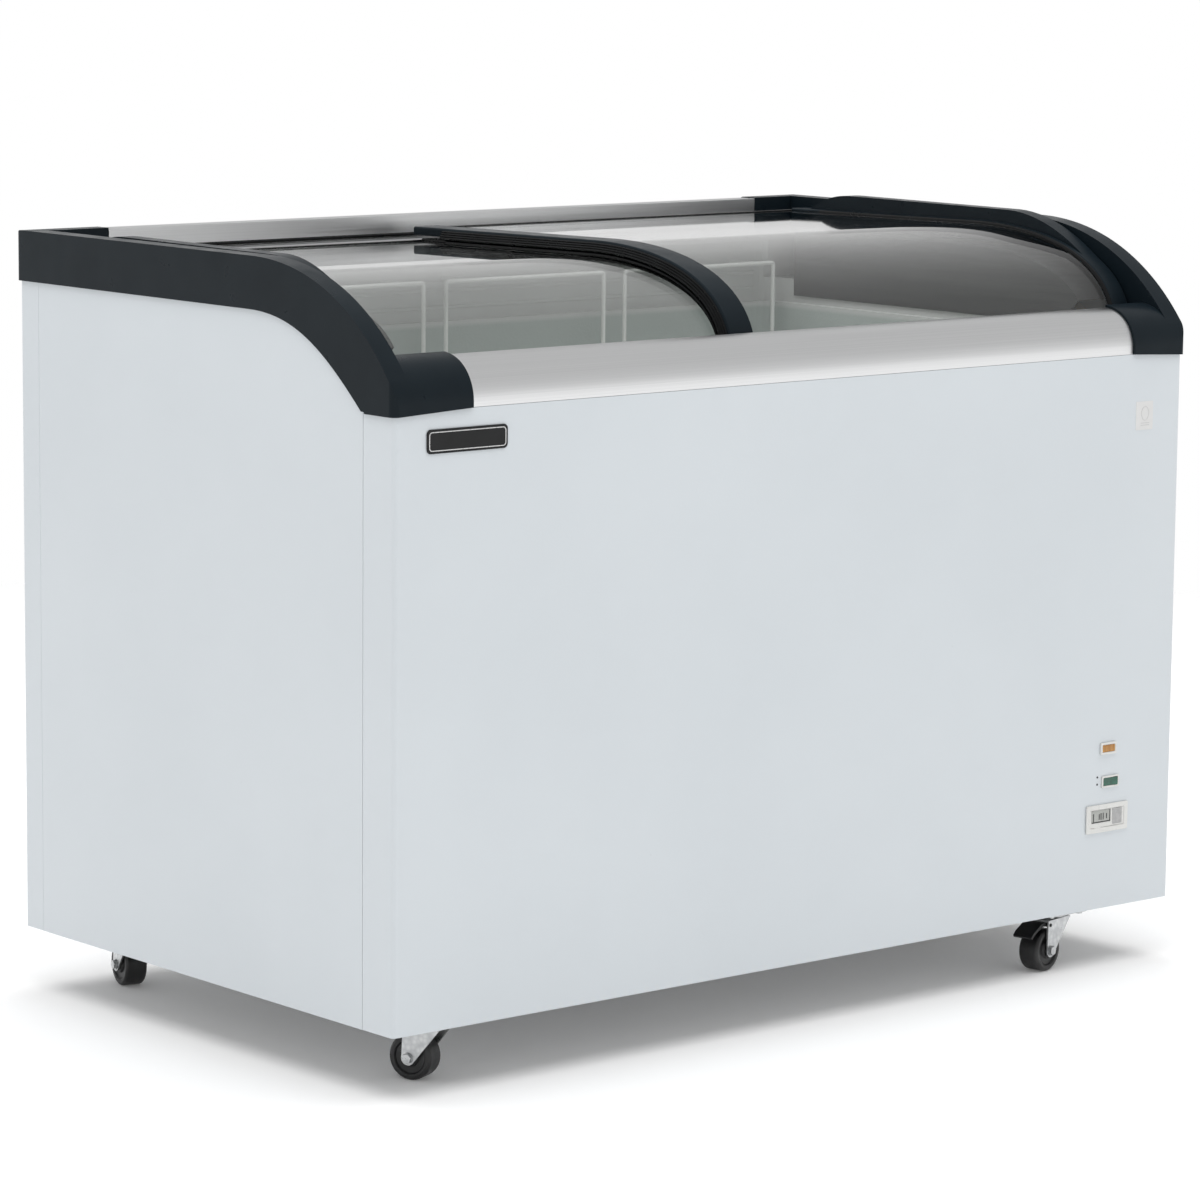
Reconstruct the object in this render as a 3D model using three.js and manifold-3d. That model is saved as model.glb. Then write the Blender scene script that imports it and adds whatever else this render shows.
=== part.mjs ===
// Chest freezer with two curved glass lids that slide past each other, on four swivel casters.
// Millimetres, +Z up. The finished group's origin is on the floor, under the middle of the body.
// Inside it, the "cabinet" group measures x from the body's left side, y from its front face and
// z from its underside, and every size below is stated in that cabinet frame.

import * as THREE from 'three';
import { mergeVertices } from 'three/addons/utils/BufferGeometryUtils.js';
import Module from 'manifold-3d';

const wasm = await Module();
wasm.setup();

// ---- driving dimensions ----
const WIDTH = 1150;
const DEPTH = 683;
const UNDERSIDE = 70;             // height of the body's underside above the floor
const SHEET = 1;                  // painted steel panels
const GAP = 0.3;                  // air between neighbouring pieces
const CORNER_RADIUS = 5;          // vertical corners of the body
const FRONT_SEAM = 51.4;          // where the front panel's side returns end
const REAR_SEAM = 646.7;          // where the rear panel's side returns begin
const FRONT_TOP = 645.2;          // top edge of the front panel
const REAR_TOP = 740;             // top edge of the rear panel
const WALL_FRONT = 630.4;         // top of the insulated front wall, under the lids' front edge
const WALL_REAR = 739;            // top of the insulated rear wall
const PROUD = 3.5;                // how far the end caps stand outside the panels
const CAP_TOP = 789;
const SKIRT_BOTTOM = 733;         // end cap's lower edge along the side, and at the front corner
const SKIRT_CORNER = 643;
const RIM_WIDTH = 20;             // width of the end cap's top face
const LEFT_BLOCK = 99.6;          // length of the corner blocks along the front
const RIGHT_BLOCK = 81;
const RAIL_BACK = 46;             // rear face of the front rail
const RAIL_TOP = 696;
const REAR_RAIL_FRONT = 655;      // front face of the rear rail
const LINER_TOP = 691;            // top of the liner's side walls
const BAY_LEFT = 905;             // left side of the compressor bay
const BAY_TOP = 265;
const TRIM_THICKNESS = 10;        // lid edge trims, measured through the glass
const GLASS_THICKNESS = 4;
const LID_LEVEL = 781.5;          // highest level of the right lid's outer surface
const LID_FALL = 4.5;             // how far the surface falls from there to its rear edge
const LID_STEP = 13;              // how far the left lid runs below the right one
const RIGHT_LID = { start: 504, end: 1125, drop: 0, rear: 620, handleRise: 15.5 };
const LEFT_LID = { start: 25, end: 540, drop: LID_STEP, rear: 606, handleRise: 21.5 };
const BASKET_WIDTH = 246;
const BASKET_STARTS = { left: 258, middle: 532, right: 806 };
const WHEEL_RADIUS = 25;
const WHEEL_WIDTH = 26;
const CASTER_TRAIL = 22;          // from the swivel axis back to the wheel's axle
// Swivel centres, with the direction in which each wheel trails behind its swivel.
const CASTERS = {
  front_left: { x: 98, y: 57, heading: 114 },
  front_right: { x: 994, y: 38, heading: 191 },
  rear_left: { x: 91, y: 596, heading: 77 },
  rear_right: { x: 994, y: 596, heading: 100 },
};

// ---- placing and combining shapes ----
const X_AXIS = new THREE.Vector3(1, 0, 0);
const Y_AXIS = new THREE.Vector3(0, 1, 0);
const Z_AXIS = new THREE.Vector3(0, 0, 1);
const point = (u, v) => new THREE.Vector2(u, v);
const points = (...pairs) => pairs.map(([u, v]) => point(u, v));

function box(x0, x1, y0, y1, z0, z1) {
  const geometry = new THREE.BoxGeometry(Math.abs(x1 - x0), Math.abs(y1 - y0), Math.abs(z1 - z0));
  return geometry.translate((x0 + x1) / 2, (y0 + y1) / 2, (z0 + z1) / 2);
}

function extrude(outline, depth, hole) {
  const shape = new THREE.Shape(outline);
  if (hole) shape.holes.push(new THREE.Path(hole));
  return new THREE.ExtrudeGeometry(shape, { depth, bevelEnabled: false });
}

// An outline of (y, z) points, carried from x0 to x1.
function alongX(outline, x0, x1, hole) {
  const geometry = extrude(outline, Math.abs(x1 - x0), hole);
  geometry.applyMatrix4(new THREE.Matrix4().makeBasis(Y_AXIS, Z_AXIS, X_AXIS));
  return geometry.translate(Math.min(x0, x1), 0, 0);
}

// An outline of (x, z) points, carried from y0 to y1.
function alongY(outline, y0, y1) {
  const geometry = extrude(outline, y1 - y0);
  geometry.applyMatrix4(new THREE.Matrix4().makeBasis(X_AXIS, Z_AXIS, Y_AXIS.clone().negate()));
  return geometry.translate(0, y1, 0);
}

// An outline of (x, y) points, carried from z0 to z1.
function alongZ(outline, z0, z1) {
  return extrude(outline, z1 - z0).translate(0, 0, z0);
}

function cylinderY(radius, x, z, y0, y1, sides = 20) {
  return new THREE.CylinderGeometry(radius, radius, y1 - y0, sides).translate(x, (y0 + y1) / 2, z);
}

function cylinderZ(radius, x, y, z0, z1, sides = 20) {
  const geometry = new THREE.CylinderGeometry(radius, radius, z1 - z0, sides).rotateX(Math.PI / 2);
  return geometry.translate(x, y, (z0 + z1) / 2);
}

function roundedRectangle(x0, x1, y0, y1, radius, steps = 5) {
  const centres = [
    [x1 - radius, y0 + radius, -90], [x1 - radius, y1 - radius, 0],
    [x0 + radius, y1 - radius, 90], [x0 + radius, y0 + radius, 180],
  ];
  return centres.flatMap(([x, y, start]) => arc(x, y, radius, start, start + 90, steps));
}

function arc(x, y, radius, startDegrees, endDegrees, steps) {
  return Array.from({ length: steps + 1 }, (_, i) => {
    const angle = THREE.MathUtils.degToRad(startDegrees + (endDegrees - startDegrees) * i / steps);
    return point(x + radius * Math.cos(angle), y + radius * Math.sin(angle));
  });
}

function curve(start, control1, control2, end, steps) {
  return new THREE.CubicBezierCurve(point(...start), point(...control1), point(...control2),
    point(...end)).getPoints(steps);
}

// Moves a line of points sideways: to the left of its direction of travel if distance is positive.
function offset(line, distance) {
  return line.map((here, i) => {
    const before = line[Math.max(i - 1, 0)];
    const after = line[Math.min(i + 1, line.length - 1)];
    const way = after.clone().sub(before).normalize();
    return point(here.x - way.y * distance, here.y + way.x * distance);
  });
}

// The closed strip between two sideways offsets of one line.
function band(line, outer, inner) {
  return [...offset(line, outer), ...offset(line, inner).reverse()];
}

function toSolid(geometry) {
  const bare = geometry.clone();
  bare.deleteAttribute('normal');
  bare.deleteAttribute('uv');
  const merged = mergeVertices(bare);
  const vertProperties = Float32Array.from(merged.attributes.position.array);
  const triVerts = Uint32Array.from(merged.index.array);
  return new wasm.Manifold(new wasm.Mesh({ numProp: 3, vertProperties, triVerts }));
}

function toGeometry(solid) {
  const mesh = solid.getMesh();
  const geometry = new THREE.BufferGeometry();
  geometry.setAttribute('position', new THREE.BufferAttribute(mesh.vertProperties, 3));
  geometry.setIndex(new THREE.BufferAttribute(mesh.triVerts, 1));
  geometry.computeVertexNormals();
  return geometry;
}

function join(...parts) {
  return toGeometry(parts.map(toSolid).reduce((whole, part) => whole.add(part)));
}

function cut(base, ...tools) {
  return toGeometry(tools.map(toSolid).reduce((whole, tool) => whole.subtract(tool), toSolid(base)));
}

function common(a, b) {
  return toGeometry(toSolid(a).intersect(toSolid(b)));
}

// Measures x from the named side of the body, so that a piece and its mirror image share one function.
const across = (side, distance) => (side === 'left' ? distance : WIDTH - distance);

// ---- materials ----
function material(color, roughness, metalness = 0) {
  return new THREE.MeshStandardMaterial({ color, roughness, metalness });
}
const whitePaint = () => material(0xe3e7ea, 0.35);
const slatePlastic = () => material(0x33393d, 0.5);
const blackPlastic = () => material(0x141516, 0.5);
const aluminium = () => material(0xb4b6b8, 0.35, 0.9);
const zinc = () => material(0xb9bbbd, 0.4, 0.9);
const greyPlastic = () => material(0x8f9193, 0.5);
const blackRubber = () => material(0x0f0f10, 0.6);
const whiteWire = () => material(0xe6e6e4, 0.4);
const copper = () => material(0xb4693f, 0.35, 0.9);
const foamYellow = () => material(0xe2d7a0, 0.9);
const linerGrey = () => material(0xcfd1d1, 0.45);
const blackPaint = () => material(0x1b1c1e, 0.45, 0.2);
function glass() {
  const look = material(0xdfe8e6, 0.05);
  look.transparent = true;
  look.opacity = 0.3;
  return look;
}

const cabinet = new THREE.Group();
cabinet.position.set(-WIDTH / 2, -DEPTH / 2, UNDERSIDE);

function add(name, geometry, look, parent = cabinet) {
  const mesh = new THREE.Mesh(geometry, look);
  mesh.name = name;
  parent.add(mesh);
  return mesh;
}

// ---- painted panels ----
// Plan of the front panel: the face, two rounded corners and the short returns on the sides.
function frontPanelPlan() {
  const left = arc(CORNER_RADIUS, CORNER_RADIUS, CORNER_RADIUS, 180, 270, 6);
  const right = arc(WIDTH - CORNER_RADIUS, CORNER_RADIUS, CORNER_RADIUS, 270, 360, 6);
  return [point(0, FRONT_SEAM), ...left, ...right, point(WIDTH, FRONT_SEAM)];
}

function rearPanelPlan() {
  const right = arc(WIDTH - CORNER_RADIUS, DEPTH - CORNER_RADIUS, CORNER_RADIUS, 0, 90, 6);
  const left = arc(CORNER_RADIUS, DEPTH - CORNER_RADIUS, CORNER_RADIUS, 90, 180, 6);
  return [point(WIDTH, REAR_SEAM), ...right, ...left, point(0, REAR_SEAM)];
}

const LAMP = { x0: 1030, x1: 1056, z0: 182, z1: 196, inset: 2 };
const ROCKER = { x0: 1033.5, x1: 1061.5, z0: 142.5, z1: 156.5, inset: 1 };
const THERMOMETER = { x0: 1009, x1: 1077, z0: 90.5, z1: 123.5, inset: 3 };
const VENT = { x0: 940, x1: 1110, z0: 80, z1: 190 };
const GLAND = { x: 922, z: 36, radius: 9 };

// The hole in a panel for an inset fitting's body.
function fittingHole(fitting) {
  const { x0, x1, z0, z1, inset } = fitting;
  const edge = inset - GAP;
  return box(x0 + edge, x1 - edge, -10, 10, z0 + edge, z1 - edge);
}

function frontPanel() {
  const sheet = alongZ(band(frontPanelPlan(), 0, SHEET), 0, FRONT_TOP);
  return cut(sheet, ...[LAMP, ROCKER, THERMOMETER].map(fittingHole));
}

function rearPanel() {
  const sheet = alongZ(band(rearPanelPlan(), 0, SHEET), 0, REAR_TOP);
  const vent = box(VENT.x0, VENT.x1, DEPTH - 10, DEPTH + 10, VENT.z0, VENT.z1);
  const glandHole = cylinderY(GLAND.radius + GAP, GLAND.x, GLAND.z, DEPTH - 10, DEPTH + 10);
  return cut(sheet, vent, glandHole);
}

// The end cap's lower edge on the body's side, from the front seam back to the straight part.
const capLowerEdge = (lift = 0) => curve([51, SKIRT_CORNER + lift], [115, 701 + lift],
  [165, SKIRT_BOTTOM + lift], [245, SKIRT_BOTTOM + lift], 8);

function sidePanel(side) {
  const lap = 10;                 // how far the panel runs up behind the cap's skirt
  const seamGap = 0.5;
  const outline = [
    point(FRONT_SEAM + seamGap, 0), point(REAR_SEAM - seamGap, 0),
    point(REAR_SEAM - seamGap, SKIRT_BOTTOM + lap),
    ...capLowerEdge(lap).reverse().slice(0, -1), point(FRONT_SEAM + seamGap, SKIRT_CORNER + lap),
  ];
  const sheet = alongX(outline, across(side, 0), across(side, SHEET));
  if (side === 'left') return sheet;
  const louvres = Array.from({ length: 9 }, (_, i) => {
    const z = 60 + i * 18;
    return box(WIDTH - 5, WIDTH + 5, 110, 250, z, z + 6);
  });
  return cut(sheet, ...louvres);
}

const PAN = 1.5;                  // base pan's thickness
const ON_PAN = PAN + 0.4;         // underside of whatever stands on the base pan

function basePan() {
  const inset = SHEET + GAP;
  const plan = roundedRectangle(inset, WIDTH - inset, inset, DEPTH - inset, CORNER_RADIUS);
  const vents = Array.from({ length: 6 }, (_, i) => {
    const x = 940 + i * 30;
    return box(x, x + 12, 200, 330, -5, 5);
  });
  return cut(alongZ(plan, 0, PAN), ...vents);
}

// ---- insulation and liner ----
// Storage space: stacked rounded rectangles, each wider than the one below, over a raised step.
const TANK = [
  { x0: 80, x1: 845, y0: 90, y1: 632, z0: 60, z1: 600, coil: true },
  { x0: 80, x1: 1070, y0: 90, y1: 632, z0: 325, z1: 600, coil: true },
  { x0: 80, x1: 1070, y0: 80, y1: 632, z0: 600, z1: 662, coil: true },
  { x0: 70, x1: 1080, y0: 80, y1: 640, z0: 662, z1: 708, coil: false },
  { x0: 70, x1: 1080, y0: 80, y1: 646, z0: 708, z1: 760, coil: false },
];
const TANK_RADIUS = 25;

function tankSpace(grow, growAtCoil = grow) {
  return join(...TANK.map(({ x0, x1, y0, y1, z0, z1, coil }) => {
    const g = coil ? growAtCoil : grow;
    const plan = roundedRectangle(x0 - g, x1 + g, y0 - g, y1 + g, TANK_RADIUS + g);
    return alongZ(plan, z0 - g, z1 + g);
  }));
}

// The top of the cabinet's inner walls, seen from the side, front to rear.
const WALL_TOP = points([RAIL_BACK + 1, WALL_FRONT], [92, WALL_FRONT], [124, 668], [165, LINER_TOP],
  [636, LINER_TOP], [636, WALL_REAR], [DEPTH - 2, WALL_REAR]);

function innerLiner() {
  const belowTop = alongX([point(0, 0), point(0, WALL_FRONT), ...WALL_TOP, point(DEPTH, WALL_REAR),
    point(DEPTH, 0)], 0, WIDTH);
  const shell = common(tankSpace(SHEET), belowTop);
  const flange = alongX(band(WALL_TOP, 0, -SHEET), RIM_WIDTH + GAP, WIDTH - RIM_WIDTH - GAP);
  return cut(join(shell, flange), tankSpace(0));
}

function insulationFoam() {
  const inset = SHEET + 0.4;
  const drop = SHEET + 0.5;
  const top = offset(WALL_TOP, -drop);
  const outline = [point(inset, ON_PAN), point(inset, top[0].y), ...top.slice(1, -1),
    point(DEPTH - inset, WALL_REAR - drop), point(DEPTH - inset, ON_PAN)];
  const block = alongX(outline, inset, WIDTH - inset);
  const plan = roundedRectangle(inset, WIDTH - inset, inset, DEPTH - inset, CORNER_RADIUS);
  const rounded = common(block, alongZ(plan, 0, CAP_TOP));
  const coilRoom = 11.3;          // the evaporator coil lies in this gap round the liner
  const bay = box(BAY_LEFT, WIDTH + 10, -10, DEPTH + 10, -10, BAY_TOP);
  return cut(rounded, tankSpace(SHEET + 0.4, coilRoom), bay);
}

// A curve that runs straight from each given point to the next.
class RouteCurve extends THREE.Curve {
  constructor(route) {
    super();
    this.route = route;
  }

  getPoint(t, target = new THREE.Vector3()) {
    const place = t * (this.route.length - 1);
    const i = Math.min(Math.floor(place), this.route.length - 2);
    return target.lerpVectors(this.route[i], this.route[i + 1], place - i);
  }

  getPointAt(t, target) {
    return this.getPoint(t, target);
  }

  getTangentAt(t, target = new THREE.Vector3()) {
    const step = 0.5 / (this.route.length - 1);
    const ahead = this.getPoint(Math.min(t + step, 1));
    return target.copy(ahead).sub(this.getPoint(Math.max(t - step, 0))).normalize();
  }
}

function evaporatorCoil() {
  const turns = 5;
  const pitch = 45;
  const lowest = 350;
  const loop = roundedRectangle(74, 1076, 84, 638, 31, 3);
  const route = [];
  for (let i = 0; i <= turns * loop.length; i += 1) {
    const { x, y } = loop[i % loop.length];
    route.push(new THREE.Vector3(x, y, lowest + pitch * i / loop.length));
  }
  const section = new THREE.Shape(arc(0, 0, 3.5, 0, 300, 5));
  const extrudePath = new RouteCurve(route);
  return new THREE.ExtrudeGeometry(section, { steps: route.length - 1, extrudePath });
}

// ---- rails, tracks and end caps ----
const railNose = () => curve([0, 650], [0, 674], [16, RAIL_TOP], [RAIL_BACK, RAIL_TOP], 10);

function frontRail() {
  const wall = 2;
  const skin = [point(0, FRONT_TOP + GAP), ...railNose()];
  const legEnd = 662;
  const outline = [...skin, point(RAIL_BACK, legEnd), point(RAIL_BACK - wall, legEnd),
    point(RAIL_BACK - wall, RAIL_TOP - wall), ...offset(skin, -wall).reverse().slice(1)];
  return alongX(outline, LEFT_BLOCK + GAP, WIDTH - RIGHT_BLOCK - GAP);
}

function rearRail() {
  const bottom = REAR_TOP + GAP;
  const top = CAP_TOP - 1;
  const bevel = 6;
  const wall = 2;
  const outline = points([REAR_RAIL_FRONT, bottom], [DEPTH, bottom], [DEPTH, top - bevel],
    [DEPTH - bevel, top], [REAR_RAIL_FRONT, top]);
  const hollow = points([REAR_RAIL_FRONT + wall, bottom + wall], [DEPTH - wall, bottom + wall],
    [DEPTH - wall, top - bevel - 1], [DEPTH - bevel - 1, top - wall],
    [REAR_RAIL_FRONT + wall, top - wall]);
  return alongX(outline, LEFT_BLOCK + GAP, WIDTH - RIGHT_BLOCK - GAP, hollow);
}

// Channel behind the front rail: both lids' front runners stand on its floor, one behind the other.
function frontTrack() {
  const front = RAIL_BACK + GAP;
  const outline = points([front, 630.8], [90, 630.8], [90, 646], [87, 646], [87, 640.2],
    [front + 3, 640.2], [front + 3, 692], [front, 692]);
  return alongX(outline, RIM_WIDTH + 0.4, WIDTH - RIM_WIDTH - 0.4);
}

function rearTrack() {
  const back = REAR_RAIL_FRONT - 0.5;
  const outline = points([590, 741.5], [back, 741.5], [back, 761], [608, 761], [608, 748], [590, 748]);
  return alongX(outline, RIM_WIDTH + 0.4, WIDTH - RIM_WIDTH - 0.4);
}

const blockNose = () => curve([-PROUD, 652], [-PROUD, 672], [12, 697], [RAIL_BACK, 699], 10);
const NOSE_TURN = 5;              // the point of the nose where the arch leaves it
const BLOCK_BOTTOM = 641;

function capArch() {
  const start = blockNose()[NOSE_TURN];
  return curve([start.x, start.y], [50, 735], [125, CAP_TOP], [240, CAP_TOP], 14);
}

// Side view of the end cap's long rim: nose, arch, straight top, rounded rear end.
function rimOutline() {
  const rear = DEPTH + PROUD;
  const rounding = 10;
  const rearArc = arc(rear - rounding, CAP_TOP - rounding, rounding, 90, 0, 4);
  return [
    point(-PROUD, BLOCK_BOTTOM), ...blockNose().slice(0, NOSE_TURN), ...capArch(), ...rearArc,
    point(rear, SKIRT_BOTTOM), ...capLowerEdge().reverse(),
  ];
}

function rearBlockOutline() {
  const rear = DEPTH + PROUD;
  const rounding = 10;
  return [point(REAR_RAIL_FRONT, SKIRT_BOTTOM), point(REAR_RAIL_FRONT, CAP_TOP),
    ...arc(rear - rounding, CAP_TOP - rounding, rounding, 90, 0, 4), point(rear, SKIRT_BOTTOM)];
}

const BELOW_CAPS = 600;           // a level clear below the end caps, and one clear above them
const ABOVE_CAPS = 800;
const CAP_CLEARANCE = 0.4;        // round the panels that the end caps sit over

// What the painted panels and the foam take up inside an end cap.
function capPocket() {
  const lift = 10 + CAP_CLEARANCE;
  const front = -CAP_CLEARANCE;
  const rear = DEPTH + CAP_CLEARANCE;
  return [
    point(front, BELOW_CAPS), point(front, FRONT_TOP + GAP), point(FRONT_SEAM + GAP, FRONT_TOP + GAP),
    point(FRONT_SEAM + GAP, SKIRT_CORNER + lift), ...capLowerEdge(lift).slice(1),
    point(rear, SKIRT_BOTTOM + lift), point(rear, BELOW_CAPS),
  ];
}

function endCap(side, blockWidth) {
  const wall = 3.5;
  const outside = across(side, -PROUD);
  const beyond = across(side, -5);
  const inward = across(side, blockWidth + 1);
  const rim = alongX(rimOutline(), outside, across(side, RIM_WIDTH));
  const noseOutline = [point(-PROUD, BLOCK_BOTTOM), ...blockNose(), point(RAIL_BACK, BLOCK_BOTTOM)];
  const frontBlock = alongX(noseOutline, outside, across(side, blockWidth));
  const rearBlock = alongX(rearBlockOutline(), outside, across(side, blockWidth));
  const plan = (grow) => alongZ(roundedRectangle(-grow, WIDTH + grow, -grow, DEPTH + grow,
    CORNER_RADIUS + grow, 6), BELOW_CAPS, ABOVE_CAPS);
  const body = common(join(rim, frontBlock, rearBlock), plan(PROUD));
  const pocket = alongX(capPocket(), beyond, inward);
  const hollowFront = FRONT_SEAM + 9;
  const undercut = offset(capArch(), -wall).filter(({ x }) => x > hollowFront);
  const hollowOutline = [point(hollowFront, BLOCK_BOTTOM), ...undercut,
    point(DEPTH - wall, CAP_TOP - wall), point(DEPTH - wall, BLOCK_BOTTOM)];
  const hollow = alongX(hollowOutline, beyond, across(side, RIM_WIDTH - wall));
  const inside = common(join(pocket, hollow), plan(CAP_CLEARANCE));
  const slope = points([beyond, BLOCK_BOTTOM], [inward, FRONT_TOP + GAP], [inward, BELOW_CAPS],
    [beyond, BELOW_CAPS]);
  return cut(body, inside, alongY(slope, -10, RAIL_BACK + 5));
}

// ---- sliding lids ----
// Side view of the right lid's outer surface, from its front edge to its highest point.
const lidBend = () => curve([57, 654], [50, 750], [170, LID_LEVEL], [290, LID_LEVEL], 16);

function lidLine(lid) {
  return offset([...lidBend(), point(lid.rear, LID_LEVEL - LID_FALL)], -lid.drop);
}

// The same line with both ends drawn out straight, for cutting right through a trim.
function overlongLidLine(lid) {
  const line = lidLine(lid);
  const way = line[1].clone().sub(line[0]).normalize();
  const overrun = 5;
  return [line[0].clone().addScaledVector(way, -overrun), ...line,
    point(lid.rear + overrun, LID_LEVEL - LID_FALL - lid.drop)];
}

function lidStrip(lid, outer, inner, x0, x1) {
  return alongX(band(lidLine(lid), outer, inner), x0, x1);
}

const GLASS_TOP = -3;             // below the trims' outer surface
const EDGE_GRIP = 14;             // how deep the trims hold the glass
const HANDLE_TRIM = 26;           // widths of the trims
const INNER_TRIM = 36;

function lidGlass(lid) {
  return lidStrip(lid, GLASS_TOP, GLASS_TOP - GLASS_THICKNESS, lid.start + EDGE_GRIP + 1,
    lid.end - EDGE_GRIP - 1);
}

// A long grip that rises from the outer trim and runs back into it at both ends.
function handleOutline(lid) {
  const level = LID_LEVEL - lid.drop;
  const top = level + lid.handleRise;
  const rear = 594;
  const buried = offset(lidLine(lid), -TRIM_THICKNESS / 2).filter(({ x }) => x > 102 && x < rear);
  return [
    ...curve([100, level - 46], [130, level - 20], [185, top - 2], [245, top - 1], 8),
    ...curve([520, top], [555, top], [572, level + 6], [rear, level - 5.5], 6),
    point(rear, level - LID_FALL - TRIM_THICKNESS / 2), ...buried.reverse(),
  ];
}

function lidTrim(lid, x0, x1, extra) {
  const room = band(overlongLidLine(lid), GLASS_TOP + GAP, GLASS_TOP - GLASS_THICKNESS - GAP);
  const glassRoom = alongX(room, lid.start + EDGE_GRIP, lid.end - EDGE_GRIP);
  const strip = lidStrip(lid, 0, -TRIM_THICKNESS, x0, x1);
  return cut(extra ? join(strip, extra) : strip, glassRoom);
}

function lidFrontRunner(lid) {
  const line = lidLine(lid);
  const way = line[1].clone().sub(line[0]).normalize();
  const start = line[0].clone().addScaledVector(way, -GAP);
  const end = line[0].clone().addScaledVector(way, -10);
  return alongX(band([end, start], 0, -TRIM_THICKNESS), lid.start, lid.end);
}

function lidRearRunner(lid) {
  const level = LID_LEVEL - LID_FALL - lid.drop;
  const shelf = level - 16 + GAP;
  const glassBottom = level + GLASS_TOP - GLASS_THICKNESS - GAP;
  const outline = points([lid.rear - 11, shelf], [lid.rear - 0.5, shelf],
    [lid.rear - 0.5, glassBottom], [lid.rear - 11, glassBottom]);
  return alongX(outline, lid.start + INNER_TRIM + 2, lid.end - INNER_TRIM - 2);
}

function addLid(side, lid) {
  const outerEdge = side === 'left' ? lid.start : lid.end;
  const innerEdge = side === 'left' ? lid.end : lid.start;
  const inward = side === 'left' ? 1 : -1;
  const grip = alongX(handleOutline(lid), outerEdge, outerEdge + inward * 20);
  const handle = lidTrim(lid, outerEdge, outerEdge + inward * HANDLE_TRIM, grip);
  const seal = lidTrim(lid, innerEdge, innerEdge - inward * INNER_TRIM);
  add(`${side}_lid_glass`, lidGlass(lid), glass());
  add(`${side}_lid_handle`, handle, slatePlastic());
  add(`${side}_lid_inner_trim`, seal, side === 'left' ? blackRubber() : slatePlastic());
  add(`${side}_lid_front_runner`, lidFrontRunner(lid), blackPlastic());
  add(`${side}_lid_rear_runner`, lidRearRunner(lid), blackPlastic());
}

// Grey lining between the liner's side wall and the end cap, under the lids.
function innerTrim(side) {
  const underLids = offset([...lidBend(), point(588, LID_LEVEL - LID_FALL)],
    -LID_STEP - TRIM_THICKNESS - 4)
    .filter(({ x }) => x > 96);
  const wall = 2;
  const reach = RIM_WIDTH + 54;
  const foot = points([588, LINER_TOP + 0.4], [168, LINER_TOP + 0.4], [126, 671]);
  const plate = alongX([...underLids, ...foot], across(side, reach - wall), across(side, reach));
  const shelf = alongX(band(underLids, 0, -wall), across(side, RIM_WIDTH + GAP), across(side, reach));
  return join(plate, shelf);
}

// ---- storage baskets ----
const BASKET = { front: 100, rear: 600, bottom: 390, rim: 603.5, wall: 3, hangerTop: 706, wire: 6 };

// An open box with a front lip on the liner's ledge and a tall rear hanger with two hooks.
function basket(x0) {
  const { front, rear, bottom, rim, wall, hangerTop, wire } = BASKET;
  const x1 = x0 + BASKET_WIDTH;
  const shell = cut(box(x0, x1, front, rear, bottom, rim),
    box(x0 + wall, x1 - wall, front + wall, rear - wall, bottom + wall, rim + 50));
  const lip = box(x0 + 10, x1 - 10, 83, front + wall, rim - wall, rim);
  const hanger = cut(box(x0, x1, rear - wire, rear, rim - 20, hangerTop),
    box(x0 + wire, x1 - wire, rear - 20, rear + 20, rim - 30, hangerTop - wire));
  const hooks = [x0 + 30, x1 - 36].map((x) => join(
    box(x, x + wire, rear - wire, 645, hangerTop - wire + 9, hangerTop + 9),
    box(x, x + wire, rear - wire, rear, hangerTop - wire, hangerTop + 9)));
  return join(shell, lip, hanger, ...hooks);
}

// ---- casters ----
const RACE_BOTTOM = -9;
const AXLE_HEIGHT = WHEEL_RADIUS - UNDERSIDE;
const BRAKE_PIN = { x: 24, z: -14.8 };
const CHEEK = 2;

function casterPlate() {
  const plate = alongZ(roundedRectangle(-31, 31, -31, 31, 5, 3), -GAP - 2.5, -GAP);
  const race = cylinderZ(19, 0, 0, RACE_BOTTOM, -GAP - 2, 24);
  const holes = [-23, 23].flatMap((x) => [-23, 23].map((y) => cylinderZ(3.2, x, y, -10, 5, 10)));
  return cut(join(plate, race), ...holes);
}

// Side view of a fork cheek: wide under the swivel, narrow round the axle.
function cheekOutline() {
  const boss = arc(CASTER_TRAIL, AXLE_HEIGHT, 8, -150, 20, 6);
  return [point(-17, RACE_BOTTOM - GAP), ...boss, point(CASTER_TRAIL + 6, RACE_BOTTOM - GAP)];
}

// Built trailing along +X, with the wheel's axle along Y.
function casterFork(braked) {
  const inner = WHEEL_WIDTH / 2 + 1.5;
  const top = RACE_BOTTOM - GAP;
  const cheeks = [-inner - CHEEK, inner].map((y) => alongY(cheekOutline(), y, y + CHEEK));
  const web = box(-17, CASTER_TRAIL + 6, -inner - CHEEK, inner + CHEEK, top - CHEEK, top);
  const wheelRoom = cylinderY(WHEEL_RADIUS + 2, CASTER_TRAIL, AXLE_HEIGHT, -inner, inner, 28);
  const bolt = cylinderY(3.4, CASTER_TRAIL, AXLE_HEIGHT, -40, 40, 16);
  const fork = cut(join(web, ...cheeks), wheelRoom, bolt);
  return braked ? cut(fork, cylinderY(2.3, BRAKE_PIN.x, BRAKE_PIN.z, -40, 40, 12)) : fork;
}

function casterWheel() {
  const half = WHEEL_WIDTH / 2;
  const tread = WHEEL_RADIUS;
  const profile = points([3.5, -half], [10, -half], [11, -half + 2], [18, -half + 2], [19, -half],
    [22, -half], [tread, -half + 5], [tread, half - 5], [22, half], [19, half], [18, half - 2],
    [11, half - 2], [10, half], [3.5, half], [3.5, -half]);
  return new THREE.LatheGeometry(profile, 24).translate(CASTER_TRAIL, 0, AXLE_HEIGHT);
}

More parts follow.
